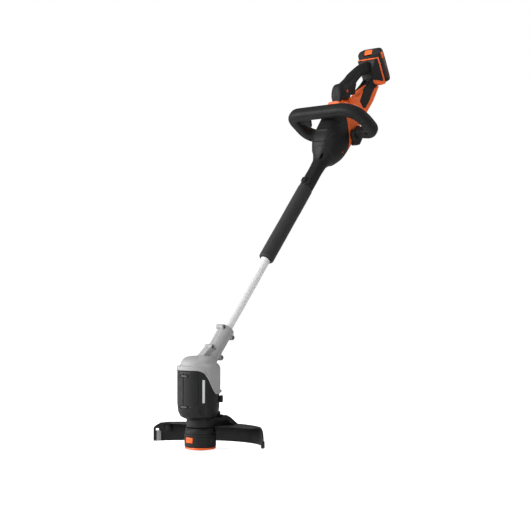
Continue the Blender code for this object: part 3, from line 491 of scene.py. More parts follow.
# ---------- spool head
def spool_head():
    body = "spool_head"
    cup = revolved([(CAP_RADIUS, 39, 0.8), (CAP_RADIUS, 34.6, 0.3), (CAP_RADIUS - 0.9, 34.2, 0.3),
                    (CAP_RADIUS - 0.9, 33.0, 0.3), (CAP_RADIUS, 32.6, 0.3), (CAP_RADIUS - 0.4, 9.5, 1),
                    (CAP_RADIUS - 2.0, 7.5, 0.6), (CAP_RADIUS - 5, 7.5, 0.5), (CAP_RADIUS - 5, 39, 0.8)], 120,
                   hollow=True)
    windows = [box((22.8, 14, 14.8), (0, y * (CAP_RADIUS - 1), 25), 1.2) for y in (-1, 1)]
    holes = [pin(3.3, 14, (x * CAP_RADIUS, 0, 22), steps=24) for x in (-1, 1)]
    piece("cap_cup_shell", combined(cup, windows + holes), BLACK, body, ["cap_cup"])
    floor = revolved([(CAP_RADIUS - 1.4, 7.1, 0.3), (CAP_RADIUS - 0.6, 4.8, 1.0),
                      (CAP_RADIUS - 2.6, 2.6, 1.6), (22.5, 2.3, 1.2), (20.4, 0, 1.4)], 120)
    piece("cap_floor_disc", floor, ORANGE, body, ["cap_floor"])
    for name, y in (("front", -1), ("rear", 1)):
        tab = block((21.4, 6.4, 13.4), 1.4, 4)
        ribs = [box((17, 1.2, 1.2), (0, y * 3.3, z), 0.3) for z in (-3.5, 0, 3.5)]
        tab = moved(joined(tab, *ribs), to(0, y * (CAP_RADIUS - 3.6), 25))
        piece("spool_tab_" + name, tab, ORANGE, "release_" + name, ["release_tab_" + name])
    for name, x in SIDES:
        ferrule = revolved([(3.0, 0, 0.2), (3.0, 4.2, 0.2), (3.2, 4.6, 0.3), (1.6, 4.6, 0.8), (1.6, 0, 0.2)],
                           36, hollow=True)
        turn = turned(x * 90, "Y")
        piece("eyelet_" + name, moved(ferrule, to(x * (CAP_RADIUS - 6), 0, 22) @ turn), STEEL, body,
              ["line_eyelet_" + name])
    housing = revolved([(36.4, 47.6, 0.5), (37.2, 47.0, 0.4), (37.6, 39.4, 0.5), (34, 39.4, 0.3),
                        (34, 46, 0.3), (6.5, 46, 0.3), (6.5, 38.2, 0.3), (4.4, 38.2, 0.2), (4.4, 54.3, 0.3),
                        (32.6, 54.3, 1.2), (35.8, 52.6, 1.0)], 120, hollow=True)
    slots = [moved(block((7, 17, 3.0), 1.0), turned(30 + 60 * i, "Z") @ to(36.6, 0, 50.6)) for i in range(6)]
    piece("drive_ring", combined(housing, slots), BLACK, body, ["spool_housing"])


# ---------- motor housing
VENT_HEIGHTS = (104, 29.5)
PANEL_HALF_ANGLE = radians(45)
PANEL_LOW, PANEL_HIGH = 31, 114


def on_barrel(degrees_round, radius, z):
    """A frame on the barrel, so far round from the front towards +X, whose Z points outwards and Y up."""
    return turned(degrees_round, "Z") @ to(0, -radius, z) @ UPRIGHT


def pill(width, height, depth):
    """A plate with round ends, depth thick on each side of its plane."""
    radius = min(width, height) / 2 - 0.01
    corners = [(width / 2, height / 2, radius), (-width / 2, height / 2, radius),
               (-width / 2, -height / 2, radius), (width / 2, -height / 2, radius)]
    return extruded(rounded(corners, 8), -depth, depth)


def vent_cuts():
    return [moved(pill(34, 7.4, 3.2), on_barrel(3, BARREL_RADIUS - 1, z)) for z in VENT_HEIGHTS]


def barrel():
    body = "lower_shaft"
    outline = [(BARREL_RADIUS, BARREL_HEIGHT - 2, 0), (BARREL_RADIUS, 28, 16), (49.4, 16, 8), (44, 5, 7),
               (35, 0, 3), (10, 0, 0.4), (10, 3, 0.3), (30, 3, 3), (46, 25, 10), (46, BARREL_HEIGHT - 2, 0)]
    profile = rounded(outline, 8)
    rows = [ring(*point, 192) for point in resampled(profile + profile[:1], 2.2)[:-1]]
    shell = tidied(grid(rows, join_rows=True))

    def dents(place, normal):
        """A shallow dent on each side of the panel, and the panel's recess."""
        if hypot(place.x, place.y) < 40 and place.z > 8 or normal.x * place.x + normal.y * place.y < 0:
            return 0
        angle = atan2(place.x, -place.y)
        depth = 0
        for side in (-1, 1):
            away = hypot((angle - side * radians(58)) * 46 / 8.5, (place.z - 22) / 13)
            depth -= 2.6 * (1 - smoothstep(0.80, 1.0, away))
        reach = panel_reach(place.z)
        recess = 1 - smoothstep(reach + 0.01, reach + 0.04, abs(angle))
        depth -= 1.3 * recess * smoothstep(PANEL_LOW - 3, PANEL_LOW - 1, place.z)
        return depth
    shell = combined(sculpted(shell, dents), vent_cuts())
    piece("motor_housing", shell, BARREL_BLACK, body, ["motor_barrel"], BARREL)
    panel()
    stop = moved(block((8, 16, 17), 1.8, 4), turned(40, "Z") @ to(BARREL_RADIUS + 4.5, 0, 47))
    lip = moved(block((5, 12, 3), 1), turned(40, "Z") @ to(BARREL_RADIUS + 5.5, 0, 53.5))
    piece("rear_hook", joined(stop, lip), BLACK, body, ["rear_stop"], at=BARREL)
    stripe_angle = radians(59)
    rows = []
    for z in (40, 40.4, 94.6, 95):
        out = BARREL_RADIUS + (0.05 if z in (40, 95) else 0.25)
        rows.append([(out * sin(a), -out * cos(a), z)
                     for a in (stripe_angle + radians(k - 3.4) for k in (0, 0.4, 2, 3.4, 4.8, 6.4, 6.8))])
    piece("side_stripe", tidied(grid(rows, wrap=False)), LABEL, body, at=BARREL)


def panel_reach(z):
    """How far round the panel goes at a height: its lower corners are cut off."""
    return PANEL_HALF_ANGLE - radians(9) * (1 - smoothstep(PANEL_LOW - 4, PANEL_LOW + 17, z))


def panel():
    """The front panel: two leaves that meet at a middle seam, with a vent across it above and below."""
    outer, inner = BARREL_RADIUS + 0.9, BARREL_RADIUS - 1.2
    low, high = PANEL_LOW, PANEL_HIGH
    leaves = []
    for side in (-1, 1):
        rows = []
        for k in range(61):
            z = low + (high - low) * k / 60
            edge = min(z - low, high - z)
            seam, reach = radians(0.5), panel_reach(z)
            row = []
            for i in range(31):
                angle = seam + (reach - seam) * i / 30
                side_edge = min(angle - seam, reach - angle) * outer
                out = outer - 0.9 * (1 - smoothstep(0, 1.4, min(edge, side_edge)))
                row.append((side * out * sin(angle), -out * cos(angle), z))
            rows.append(row)
        back = []
        for z in (high, low):
            angles = [seam + (panel_reach(z) - seam) * i / 30 for i in range(31)]
            back.append([(side * inner * sin(angle), -inner * cos(angle), z) for angle in angles])
        leaves.append(tidied(grid(rows + back, wrap=False, join_rows=True)))
    leaf = joined(*leaves)
    bmesh.ops.holes_fill(leaf, edges=leaf.edges[:], sides=0)
    tidied(leaf)
    leaf = combined(leaf, vent_cuts())
    inserts = [moved(pill(22, 3.4, 1.6), on_barrel(-2, BARREL_RADIUS - 3.4, z)) for z in VENT_HEIGHTS]
    piece("front_cover", leaf, BARREL_BLACK, "lower_shaft", ["front_panel"], BARREL)
    piece("vent_bars", joined(*inserts), DARK_GRAY, "lower_shaft", at=BARREL)


# ---------- gray head cover and neck clamp
# the cover's lower edge: (degrees round from the front, height)
COVER_EDGE = [(0, 117.5), (40, 117.3), (46, 116.6), (54, 114), (62, 109.5), (71, 98), (80, 83), (88, 70.5),
              (95, 62.5), (102, 60), (180, 60)]
# the cover's outline above its lower edge, at the front and at the sides: (radius, height from its shoulder)
COVER_FRONT = [(COVER_RADIUS, -7.2), (53, -6.6), (45.2, -6.4), (44.6, -5.6), (44, -3), (43.4, -0.4),
               (42.2, 2.8), (39.8, 6), (36, 8.8), (31.5, 11), (26, 13), (19, 14.8), (10, 16.4), (2, 17.2)]
COVER_SIDE = [(COVER_RADIUS, -14), (53.2, -11.5), (52, -8), (50, -5), (47.5, -2.2), (44.6, 0.3), (43.6, 4),
              (42.4, 8.5), (39.6, 12), (35, 14.2), (28, 15.6), (20, 16.6), (10, 17.2), (2, 17.4)]
COVER_RIM = (50.9, COVER_RADIUS)        # the radii of its lower edge, inside and outside
COVER_INSIDE = [(2, 147.6), (28, 144.6), (37, 139), (40.3, 132), (41.5, 125), (50.4, 122)]
COVER_SHOULDER = 134.5
# the clamp's four bosses in the shaft frame: (y, z)
CLAMP_BOSSES = [(-19.5, 131), (22, 130), (-19.5, 68), (22.5, 67)]


def head_cover():
    angles = [2 * pi * i / 180 for i in range(180)]
    from_front = [min(angle, 2 * pi - angle) for angle in angles]
    blends = [smoothstep(radians(40), radians(84), angle) for angle in from_front]
    edge = [between(COVER_EDGE, angle * 180 / pi)[0] for angle in from_front]
    rows = [[(radius, z) for z in edge] for radius in COVER_RIM]
    for front, side in zip(COVER_FRONT, COVER_SIDE):
        rows.append([(front[0] + (side[0] - front[0]) * blend,
                      COVER_SHOULDER + front[1] + (side[1] - front[1]) * blend) for blend in blends])
    rows += [[corner] * len(angles) for corner in COVER_INSIDE]
    rows = [[(radius * sin(angle), -radius * cos(angle), z) for angle, (radius, z) in zip(angles, row)]
            for row in rows]
    return moved(tidied(grid(rows, join_rows=True)), BARREL)


def neck():
    column = revolved([(21, 139, 1.2), (21, 127.5, 1.0), (19.3, 125.5, 1.5), (19.3, 20, 0.5)], 96)
    pad = plate([(-34, 24, 2), (-26, 60, 4), (-22, 71, 4), (-8, 74, 2), (-8, 20, 1)], -11, 11, 1.8)
    bosses = [pin(7, 24, (0, y, z), 1.4) for y, z in CLAMP_BOSSES]
    return joined(column, pad, *bosses)


def cover_piece():
    dome = moved(head_cover(), SHAFT.inverted())
    whole = melted(joined(dome, neck()), 0.95, 2, 0.5)
    to_barrel = BARREL.inverted() @ SHAFT

    def border(place, normal):
        """A groove that follows the cover's lower edge."""
        here = to_barrel @ place
        if here.z > 118 or hypot(here.x, here.y) < 0.96 * COVER_RADIUS:
            return 0
        edge = between(COVER_EDGE, degrees(abs(atan2(here.x, -here.y))))[0]
        return -1.2 * bell(here.z - edge, 9.5, 1.9)
    whole = sculpted(whole, border)
    cuts = [moved(rod(TUBE_RADIUS + 0.4, 200, steps=64), to(0, 0, 148)),
            box((2 * SEAM, 8, 130), (0, -22, 80))]
    for y, z in CLAMP_BOSSES:
        cuts.append(pin(4.4, 12, (15, y, z), steps=32))
    channel = rod(5.2, 40, steps=32, tip_radius=0.8)
    cuts.append(moved(channel, to(15.5, -16.5, 50) @ turned(172, "X")))
    whole = combined(whole, cuts)
    nub = moved(block((4.5, 5, 7), 1.5), SHAFT.inverted() @ BARREL @ turned(42, "Z")
                @ to(COVER_RADIUS + 0.8, 0, 66))
    piece("gray_head_cover", joined(whole, nub), GRAY, "lower_shaft", ["head_cover_left", "head_cover_right"],
          at=SHAFT, sharp=50)
    for i, (y, z) in enumerate(CLAMP_BOSSES):
        screw = moved(screw_head(3.8, 2.6), to(8.6, y, z) @ ALONG_X)
        stem = pin(2, 18, (0, y, z), steps=24)
        piece("clamp_screw_%d" % (i + 1), joined(screw, stem), STEEL, "lower_shaft",
              ["neck_screw_%d" % (i + 1)], at=SHAFT)


# ---------- guard
RISE_LOW, RISE_HIGH = 0.034, 0.018      # how far the guard's lower and upper rims rise per mm towards +X
GUARD_SCREWS = (-14, 14)                # X of the two screws behind the neck


def guard_line(half_width, tip_y, back_y):
    """The guard's curve seen from above: a circle through its two tips and its back."""
    count = 72
    rise = back_y - tip_y
    radius = (half_width ** 2 + rise ** 2) / (2 * rise)
    reach = atan2(half_width, radius - rise)
    centre_y = back_y - radius
    return [(radius * sin(reach * (1 - 2 * i / count)), centre_y + radius * cos(reach * (1 - 2 * i / count)))
            for i in range(count + 1)]


def guard_piece():
    body = "lower_shaft"
    outer = guard_line(GUARD_HALF_WIDTH, 21, 106)
    inner = guard_line(GUARD_HALF_WIDTH - 2.4, 18.6, 103)

    def sloped(shape):
        for vertex in shape.verts:
            part = (vertex.co.z - GUARD_BOTTOM) / (GUARD_TOP - GUARD_BOTTOM)
            vertex.co.z += vertex.co.x * (RISE_LOW + (RISE_HIGH - RISE_LOW) * min(1, part))
        return shape
    skirt = sloped(extruded(outer + inner[::-1], GUARD_BOTTOM, GUARD_TOP, 0.7, 2))
    deck_edge = [(-70, 30), (-30, 12), (30, 12), (70, 30)]
    deck_line = guard_line(GUARD_HALF_WIDTH - 1.1, 20, 104.8)
    deck = sloped(extruded(deck_line + deck_edge, GUARD_TOP - 1.8, GUARD_TOP - 0.15))
    saddle = plate([(10, 55.9, 0), (10, 76.4, 0.5), (45.5, 76.4, 0), (48, 82, 1.5), (66, 81, 8), (80, 74, 8),
                    (102, 58.5, 3), (102, 55.9, 0)], -29, 29, 1.6)
    latch = box((30, 8, 13), (0, 52.5, 84.5), 2)
    collar = revolved([(33.4, 56, 0.3), (34, 56.4, 0.3), (34, 71.8, 0.3), (33, 72.2, 0.2), (33, 73, 0.2),
                       (34, 73.4, 0.3), (34, 76.4, 0.6), (12, 76.4, 0.3), (12, 56, 0.3)], 96, hollow=True)
    ribs = []
    for side in (-1, 1):
        rib = extruded([(26, 56.5), (58, 56.5), (57, 59), (27, 73)], -1.4, 1.4)
        ribs.append(tidied(moved(rib, Matrix.Diagonal((side, 1, 1, 1)) @ to(0, 62, 0) @ UPRIGHT)))
    lug = moved(block((12, 12, 17), 1.5), to(-157, 43, 41) @ turned(38, "Z"))
    toe = box((6, 10, 18), (181.5, 26.5, 23), 2.4)
    window = moved(block((8, 16, 5.5), 1), to(-180, 24, 34.5) @ turned(30, "Z"))
    skirt = combined(skirt, [*wing_cuts(), window])
    deck = combined(deck, [*wing_cuts(), bored()])
    sockets = [moved(rod(5.2, 8, 0.5), to(x, 60, 84)) for x in GUARD_SCREWS]
    saddle = combined(saddle, [bored(), *sockets])
    collar = combined(collar, [bored()])
    piece("cutting_guard", joined(skirt, deck, saddle, collar, latch, lug, toe, *ribs), BLACK, body,
          ["guard"], sharp=35)
    for i, x in enumerate(GUARD_SCREWS):
        stem = moved(rod(2, 14, steps=24), to(0, 0, -6))
        piece("guard_screw_head_%d" % (i + 1), joined(screw_head(4, 3), stem), STEEL, body,
              ["guard_screw_%d" % (i + 1)], at=to(x, 60, 79.5))
    edge = extruded([(-5.5, -13), (4.2, -13), (5.8, -9), (5.8, 10), (4, 13), (-5.5, 13)], -0.6, 0.6, 0.25, 2)
    piece("cutter_blade", moved(edge, UPRIGHT), BLADE, body, ["line_cutter_blade"],
          to(-174, 25, 20) @ turned(38, "Z"))


def bored():
    """The room for the spool and its shaft in the middle of the guard."""
    return revolved([(30, 30, 0), (30, 66, 0.5), (14, 66, 0.5), (14, 90, 0)], 96)


def wing_cuts():
    """The waste outside each wing's rounded upper corner."""
    cuts = []
    for side, reach, drop in ((-1, 27, 24), (1, 62, 44)):
        x = side * GUARD_HALF_WIDTH
        top = GUARD_TOP + RISE_HIGH * x
        angles = [radians(90) * i / 16 for i in range(17)]
        arc = [(x - side * reach * (1 - sin(angle)), top - drop * (1 - cos(angle))) for angle in angles]
        outline = [(arc[0][0], top + 5)] + arc + [(x + side * 5, arc[-1][1]), (x + side * 5, top + 5)]
        cuts.append(moved(extruded(outline, -120, 60), UPRIGHT))
    return cuts


# ---------- shaft
def shaft():
    count = 180
    groove = radians(8)
    rows = []
    for inset, z in ((0.5, 50), (0, 50.5), (0, 467.5), (0.5, 468)):
        row = []
        for i in range(count):
            angle = 2 * pi * i / count
            away = abs(atan2(sin(angle - groove), cos(angle - groove))) * TUBE_RADIUS
            radius = TUBE_RADIUS - inset - 1.2 * (1 - smoothstep(2.6, 3.3, away))
            row.append((radius * cos(angle), radius * sin(angle), z))
        rows.append(row)
    rows += [ring(10.5, z, count) for z in (468, 50)]
    piece("bright_tube", tidied(grid(rows, join_rows=True)), ALUMINIUM, "lower_shaft", ["lower_tube"],
          at=SHAFT)
    guide = revolved([(13.1, 368, 0.3), (15, 368, 0.8), (15, 379, 0.8), (13.1, 379, 0.3)], 96, hollow=True)
    piece("guide_ring", guide, BLACK, "swivel_collar", ["guide_collar"], at=SHAFT)
    sleeve = []
    for z in range(SLEEVE_LOW, SLEEVE_HIGH + 2, 2):
        end = min(z - SLEEVE_LOW, SLEEVE_HIGH - z)
        lean = 3.0 * (1 - smoothstep(0, 4.5, end)) ** 1.5
        row = []
        for k in range(144):
            angle = 2 * pi * k / 144
            swell = 0.10 * sin(z * 0.045 + 1.3) + 0.06 * sin(3 * angle + z * 0.021)
            radius = 20.1 - lean + swell * smoothstep(0, 20, end)
            row.append((radius * cos(angle), radius * sin(angle), z))
        sleeve.append(row)
    sleeve += [ring(15.3, z, 144) for z in (SLEEVE_HIGH, SLEEVE_LOW)]
    piece("foam_grip_sleeve", tidied(grid(sleeve, join_rows=True)), FOAM, "power_head", ["foam_sleeve"],
          at=SHAFT)
    collar = revolved([(15.3, 622.5, 0.3), (18.4, 622.5, 0.8), (19, 624, 0.6), (19, 633, 0.3),
                       (18.4, 633.6, 0.3), (18.4, 635, 0.3), (19, 635.6, 0.3), (19, 646.4, 0.6),
                       (15.3, 646.4, 0.3)], 96, hollow=True)
    lug = box((15, 8, 15), (0, -19.5, 637), 2, 4)
    rib = moved(block((3, 4, 17), 1), to(14.5, -11.5, 636) @ turned(-40, "Z"))
    piece("sleeve_end_collar", joined(collar, lug, rib), BLACK, "power_head", ["sleeve_collar"], at=SHAFT)


# ---------- power head
# sections along the shaft: (z, y, tilt, half depth, half width, squareness)
BODY = [(647, 0, 0, 19, 19, 2.0), (700, 0, 0, 19.5, 19.5, 2.0), (722, 0, 0, 26, 24, 2.1),
        (745, 0, 0, 38, 33, 2.3), (772, -2, 0, 49, 40, 2.5), (805, -4, 0, 53, 44, 2.6),
        (850, -5, 0, 54, 44, 2.6), (890, -8, 0, 53, 43, 2.5), (922, 6, radians(12), 40, 30, 2.4),
        (946, 14, radians(16), 32, 18, 2.3)]
# outlines seen from the side: (y, z, rounding)
STRUT = [(-20, 900, 0), (41, 900, 10), (48, 955, 25), (48.5, 1010, 25), (43, 1045, 10), (40, 1062, 1),
         (35.8, 1062, 0), (30.6, 1053.4, 0), (11, 1047.8, 0), (5, 1030, 12), (-5, 1000, 12), (-11, 966, 6),
         (-36, 940, 6)]
GRIP_SECTIONS = [(901, -60, radians(-38), 13.5, 13.5, 2.1), (911, -65, radians(-34), 19.8, 18, 2.1),
                 (932, -67, radians(-12), 20.5, 19.6, 2.2), (958, -58.5, radians(12), 18.5, 18.5, 2.4),
                 (985, -52, radians(11), 17.5, 17.5, 2.3), (1010, -49, radians(12), 17, 17, 2.3),
                 (1038, -41, radians(12), 17.5, 17, 2.3), (1077.6, -22.4, radians(-50), 16.5, 18, 2.4)]
SADDLE = [(-66, 882, 4), (-68, 890, 4), (-58, 897, 5), (-42, 916, 7), (-30, 920, 6), (-20, 908, 4),
          (-20, 880, 2), (-50, 876, 6)]
INLAY = [(2, 961, 4), (25, 957, 5), (32, 963, 6), (33, 988, 15), (28, 1020, 15), (24, 1062, 2), (2, 1058, 2),
         (0, 1030, 8), (-5, 1003, 12), (-2, 980, 10)]
STRUT_FRONT = [(5, 1033, 1), (5.6, 1050, 3), (10, 1068, 2), (26, 1068, 2), (30, 1056, 4), (28, 1040, 6),
               (16, 1036, 3)]
# two places (y, z) on the parting line between the black housing and the orange shell
SEAM_LOW, SEAM_HIGH = (50, 786), (-62, 884)
# the front housing's sunk panel: (height along the shaft, half width), and the crest across it
FRONT_PANEL = [(755, 0), (757, 13), (760, 20), (764, 24.5), (779, 32), (796, 36), (816, 37.5), (838, 36),
               (880, 32)]
LOCK_PLACE = (0, -57, 940)
CREST_LINE = [(0, -56, 793), (8, -55, 793), (19, -52, 795)]


def seam_side(above):
    """Everything above or below the plane where the black housing meets the orange shell."""
    run, rise = SEAM_HIGH[0] - SEAM_LOW[0], SEAM_HIGH[1] - SEAM_LOW[1]
    tilt = atan2(rise, -run)
    size = 400
    shift = (size + 2 * SEAM) / 2 * (1 if above else -1)
    middle_y, middle_z = (SEAM_LOW[0] + SEAM_HIGH[0]) / 2, (SEAM_LOW[1] + SEAM_HIGH[1]) / 2
    return moved(block((size, size, size)), to(0, middle_y + shift * sin(tilt), middle_z + shift * cos(tilt))
                 @ Matrix.Rotation(-tilt, 4, "X"))


def away_from(line, place):
    """The distance from a place to a line through points, with both sides of the object alike."""
    here = Vector((abs(place.x), place.y, place.z))
    distances = []
    for start, end in zip(line, line[1:]):
        start, end = Vector(start), Vector(end)
        along = end - start
        part = min(1, max(0, (here - start).dot(along) / along.length_squared))
        distances.append((here - start - along * part).length)
    return min(distances)


def front_housing():
    shape = tidied(grid(lofted(BODY, 260, 220), start_cap=True, end_cap=True))

    def relief(place, normal):
        if place.z > 890:
            return 0
        depth = -2.2 * (1 - smoothstep(740, 743, place.z + 0.12 * place.y)) * smoothstep(700, 716, place.z)
        if place.y < -15 and place.z > 752:
            inside = min(between(FRONT_PANEL, max(755, place.z))[0] - abs(place.x), (place.z - 756) * 0.8)
            depth += 0.9 * bell(inside, -1.6, 2.2) - 1.7 * smoothstep(-1, 2.2, inside)
            depth += 1.5 * bell(away_from(CREST_LINE, place), 0, 3.4)
        return depth
    shape = combined(sculpted(shape, relief), [seam_side(False)], "INTERSECT")
    cuts = [moved(rod(15.3, 110, steps=64), to(0, 0, 690))]
    for side in (-1, 1):
        cuts.append(moved(pill(6, 21, 6), turned(side * 37, "Z") @ to(0, -24, 722) @ turned(78, "X")))
        cuts.append(pin(2.9, 16, (side * 36, 20, 775), steps=32))
    for z in (812, 820, 828):
        cuts.append(moved(block((120, 2.4, 26), 1), to(0, 30, z - 4) @ turned(40, "X")))
    piece("front_housing", combined(shape, cuts), BLACK, "power_head",
          ["front_housing_left", "front_housing_right"], at=SHAFT, sharp=32)
    plugs = [pin(2.6, 7, (side * 35, 20, 775), 0.6, 32) for side in (-1, 1)]
    piece("housing_plugs", joined(*plugs), LOCK_RED, "power_head", at=SHAFT)


def rear_shell():
    hull = tidied(grid(lofted(BODY, 150, 160, low=745), start_cap=True, end_cap=True))
    strut = plate(STRUT, -17, 17, 5.5, 4)
    boss = pin(16, 36.4, (0, -11, 942), 1.6, 64)
    whole = melted(joined(hull, strut, boss, plate(SADDLE, -21, 21, 8, 4)), 1.3, 5, 0.6)
    cuts = [moved(plate(INLAY, -4, 4), to(side * 17.6, 0, 0)) for side in (-1, 1)]
    whole = combined(combined(whole, [seam_side(True)], "INTERSECT"), cuts)
    piece("rear_shell", whole, ORANGE, "power_head", ["body_shell_left", "body_shell_right"], at=SHAFT,
          sharp=40)
    piece("strut_front_pad", plate(STRUT_FRONT, -17.9, 17.9, 1.2), GRIP, "power_head", at=SHAFT)
    for name, side in SIDES:
        inlay = moved(plate(INLAY, -4, 4, 1.1), to(side * 14, 0, 0))
        inlay = sculpted(inlay, lambda place, normal: -0.3)
        piece("strut_pad_" + name, inlay, GRIP, "power_head", ["strut_inlay_" + name], at=SHAFT)


def grip():
    shape = tidied(grid(lofted(GRIP_SECTIONS, 220, 160), start_cap=True, end_cap=True))
    cheek = plate([(-72, 913, 4), (-52, 912, 8), (-38, 926, 10), (-32, 941, 8), (-34, 956, 6), (-45, 968, 6),
                   (-64, 966, 4)], -15.5, 15.5, 6, 4)
    shape = melted(joined(shape, cheek), 1.2, 6, 0.6)
    creases = [[(8, -76, 953), (13, -69, 967), (15, -60, 985)], [(13, -72, 918), (4, -66, 911)],
               [(17.5, -50, 1045), (17, -45, 1022), (17, -43, 1000)]]

    def relief(place, normal):
        depth = -0.7 * bell(away_from(creases[0], place), 0, 1.5)
        depth -= 0.6 * bell(away_from(creases[1], place), 0, 1.8)
        depth += 0.5 * bell(away_from(creases[2], place), 0, 2.6)
        side = smoothstep(0.85, 0.98, abs(normal.x)) * smoothstep(960, 975, place.z)
        return depth - 0.5 * side * smoothstep(1050, 1040, place.z)
    shape = sculpted(shape, relief)
    slot = plate([(-51, 957, 0), (-20, 950, 0), (-14, 1002, 0), (-48, 1005, 0)], -7.7, 7.7)
    hole = pin(5.6, 60, LOCK_PLACE, steps=40)
    seam = moved(block((SEAM, 60, 220)), to(0, -92, 990) @ turned(-8, "X"))
    bay = moved(block(BAY_SIZE), SHAFT.inverted() @ RAILS @ to(0, 28, -4.5))
    piece("rear_grip", combined(shape, [slot, hole, seam, bay]), GRIP, "power_head",
          ["grip_shell_left", "grip_shell_right"], at=SHAFT, sharp=40)
    lever = plate([(-6, 4, 2), (4, 4, 2), (10, -1, 3), (15, -14, 10), (24, -26, 3), (16, -36, 4), (0, -37, 2),
                   (-6, -24, 4)], -6.8, 6.8, 2.2, 4, 8)
    piece("trigger_lever", lever, BLACK, "trigger", ["trigger"], SHAFT @ to(0, -39, 998))
    button = revolved([(4.9, -20, 1.6), (4.9, 20, 1.6)], 48)
    piece("lock_off_pin", button, LOCK_RED, "lock_off", ["lock_off_button"],
          SHAFT @ to(*LOCK_PLACE) @ ALONG_X)


# ---------- battery and its dock
def tapered_plate(outline, half_width):
    """A plate that narrows away from the battery."""
    shape = extruded(rounded(outline), -half_width, half_width, 2.4, 4)
    for vertex in shape.verts:
        vertex.co.z *= 1 - 0.5 * min(1, max(0, (-5 - vertex.co.y) / 25))
    return moved(shape, SIDEWAYS)


def dock():
    body = "power_head"
    shape = tapered_plate([(0.5, -5, 0), (2, -13, 3), (30, -28, 6), (62, -30, 6), (76, -18, 5), (76, -5, 0)],
                          36.5)
    shape = combined(shape, [box(BAY_SIZE, (0, 28, -4.5))])
    piece("battery_mount", shape, BLACK, body, ["battery_dock"], at=RAILS)
    rim = box((73.4, 78.6, 5.4), (0, 38.5, -3.4), 1.1, 3)
    rim = combined(rim, [box(BAY_SIZE, (0, 28, -2.6))])
    flange = tapered_plate([(77.8, -3, 0), (77.8, -14, 6), (66, -30.4, 5), (54, -30.4, 2), (61, -18, 8),
                            (67, -9, 4), (67, -3, 0)], 36.9)
    piece("mount_rim", joined(rim, flange), ORANGE, body, ["dock_rim"], at=RAILS)


BATTERY_HALF_WIDTH = 36.5
BATTERY_LENGTH = 100
BATTERY_MIDDLE = 27.5
# layers of the battery's two halves: (height, inset at the sides, at the front, at the back, squareness)
CASE_LAYERS = [(0.4, 1.6, 1.6, 1.6, 9), (1.4, 0.3, 0.3, 0.3, 9), (2.2, 0, 0, 0, 9), (13.4, 0, 0, 0, 9),
               (14.1, 0.3, 0.3, 0.3, 9), (14.4, 0.9, 0.9, 0.9, 9)]
COVER_LAYERS = [(14.8, 0.9, 0.9, 0.9, 9), (15.2, 0.2, 0.2, 0.2, 9), (16, 0, 0, 0, 9), (25.5, 0, 0.2, 0, 9),
                (27.9, 0.5, 1.0, 0.5, 8), (29.7, 1.8, 2.4, 1.6, 7), (30.8, 4, 4.8, 3.6, 6.5),
                (31.2, 6.5, 8, 6, 6)]


def layered(layers):
    rows = []
    for height, inset_x, inset_front, inset_back, power in layers:
        length = BATTERY_LENGTH - inset_front - inset_back
        middle = BATTERY_MIDDLE + (inset_front - inset_back) / 2
        outline = squircle(BATTERY_HALF_WIDTH - inset_x, length / 2, power, 160)
        rows.append([(x, middle + y, height) for x, y in outline])
    return tidied(grid(rows, start_cap=True, end_cap=True))


def battery():
    case = layered(CASE_LAYERS)
    slide = box((49.2, 62, 16.4), (0, 33, -5.2), 0.8)
    room = box((31, 20, 12.5), (0, 63.4, -9.6))
    case = combined(case, [slide], "UNION")
    slope = moved(block((90, 20, 20)), to(0, -16.2 - 10 * sin(radians(45)), 5.4 - 10 * cos(radians(45)))
                  @ turned(45, "X"))
    pocket = box((26.4, 15, 14), (0, -16, 5.4))
    piece("battery_base", combined(case, [room, slope, pocket]), BLACK, "battery", ["battery_case"], at=RAILS)
    bar = box((50.6, 3, 5.4), (0, 0.6, -3.4), 0.9)
    piece("battery_bar", bar, ORANGE, "battery", at=RAILS)
    ribs = [box((46, 3, 2), (0, 20 + 8 * i, 31.4), 0.6) for i in range(6)]
    cover = combined(layered(COVER_LAYERS), ribs)
    piece("battery_shell", cover, BLACK, "battery", ["battery_cover"], at=RAILS)
    for name, side in SIDES:
        badge = plate([(-12, 12.5, 3), (8, 12.5, 2), (8, 23, 3), (-10, 23, 5)], -0.7, 0.7, 0.35, 2)
        # the strip along each side is a label, tinted brown as painted orange reflection
        strip = plate([(9.5, 12.5, 2), (70, 12.5, 3), (68, 23, 4), (9.5, 23, 2)], -0.6, 0.6, 0.3, 2)
        here = RAILS @ to(side * 36.4, 0, 0)
        piece("battery_badge_" + name, badge, ORANGE, "battery", at=here)
        piece("battery_strip_" + name, strip, REFLECTION_TINTED_LABEL, "battery", at=here)
    latch = plate([(-11.6, 0.4, 0.4), (-11.6, 11.9, 0.4), (-22.3, 11.9, 0.8), (-22.3, 10.4, 0.8)],
                  -12.8, 12.8, 0.7)
    ridges = [moved(block((17, 1.1, 1.0), 0.3), to(0, -17 - 2.2 * k, 5.5 + 2.2 * k) @ turned(45, "X"))
              for k in (-1, 0, 1)]
    piece("battery_latch", joined(latch, *ridges), ORANGE, "battery_button", ["battery_release"], at=RAILS)


# ---------- loop handle
def bent(corners, reaches):
    """A route through the corners, each rounded over its reach."""
    steps = 14
    route = [Vector(corners[0])]
    for before, here, after, reach in zip(corners, corners[1:], corners[2:], reaches):
        here = Vector(here)
        back = (Vector(before) - here).normalized()
        ahead = (Vector(after) - here).normalized()
        for i in range(steps + 1):
            along = i / steps
            route.append(here + back * reach * (1 - along) ** 2 + ahead * reach * along ** 2)
    return route + [Vector(corners[-1])]


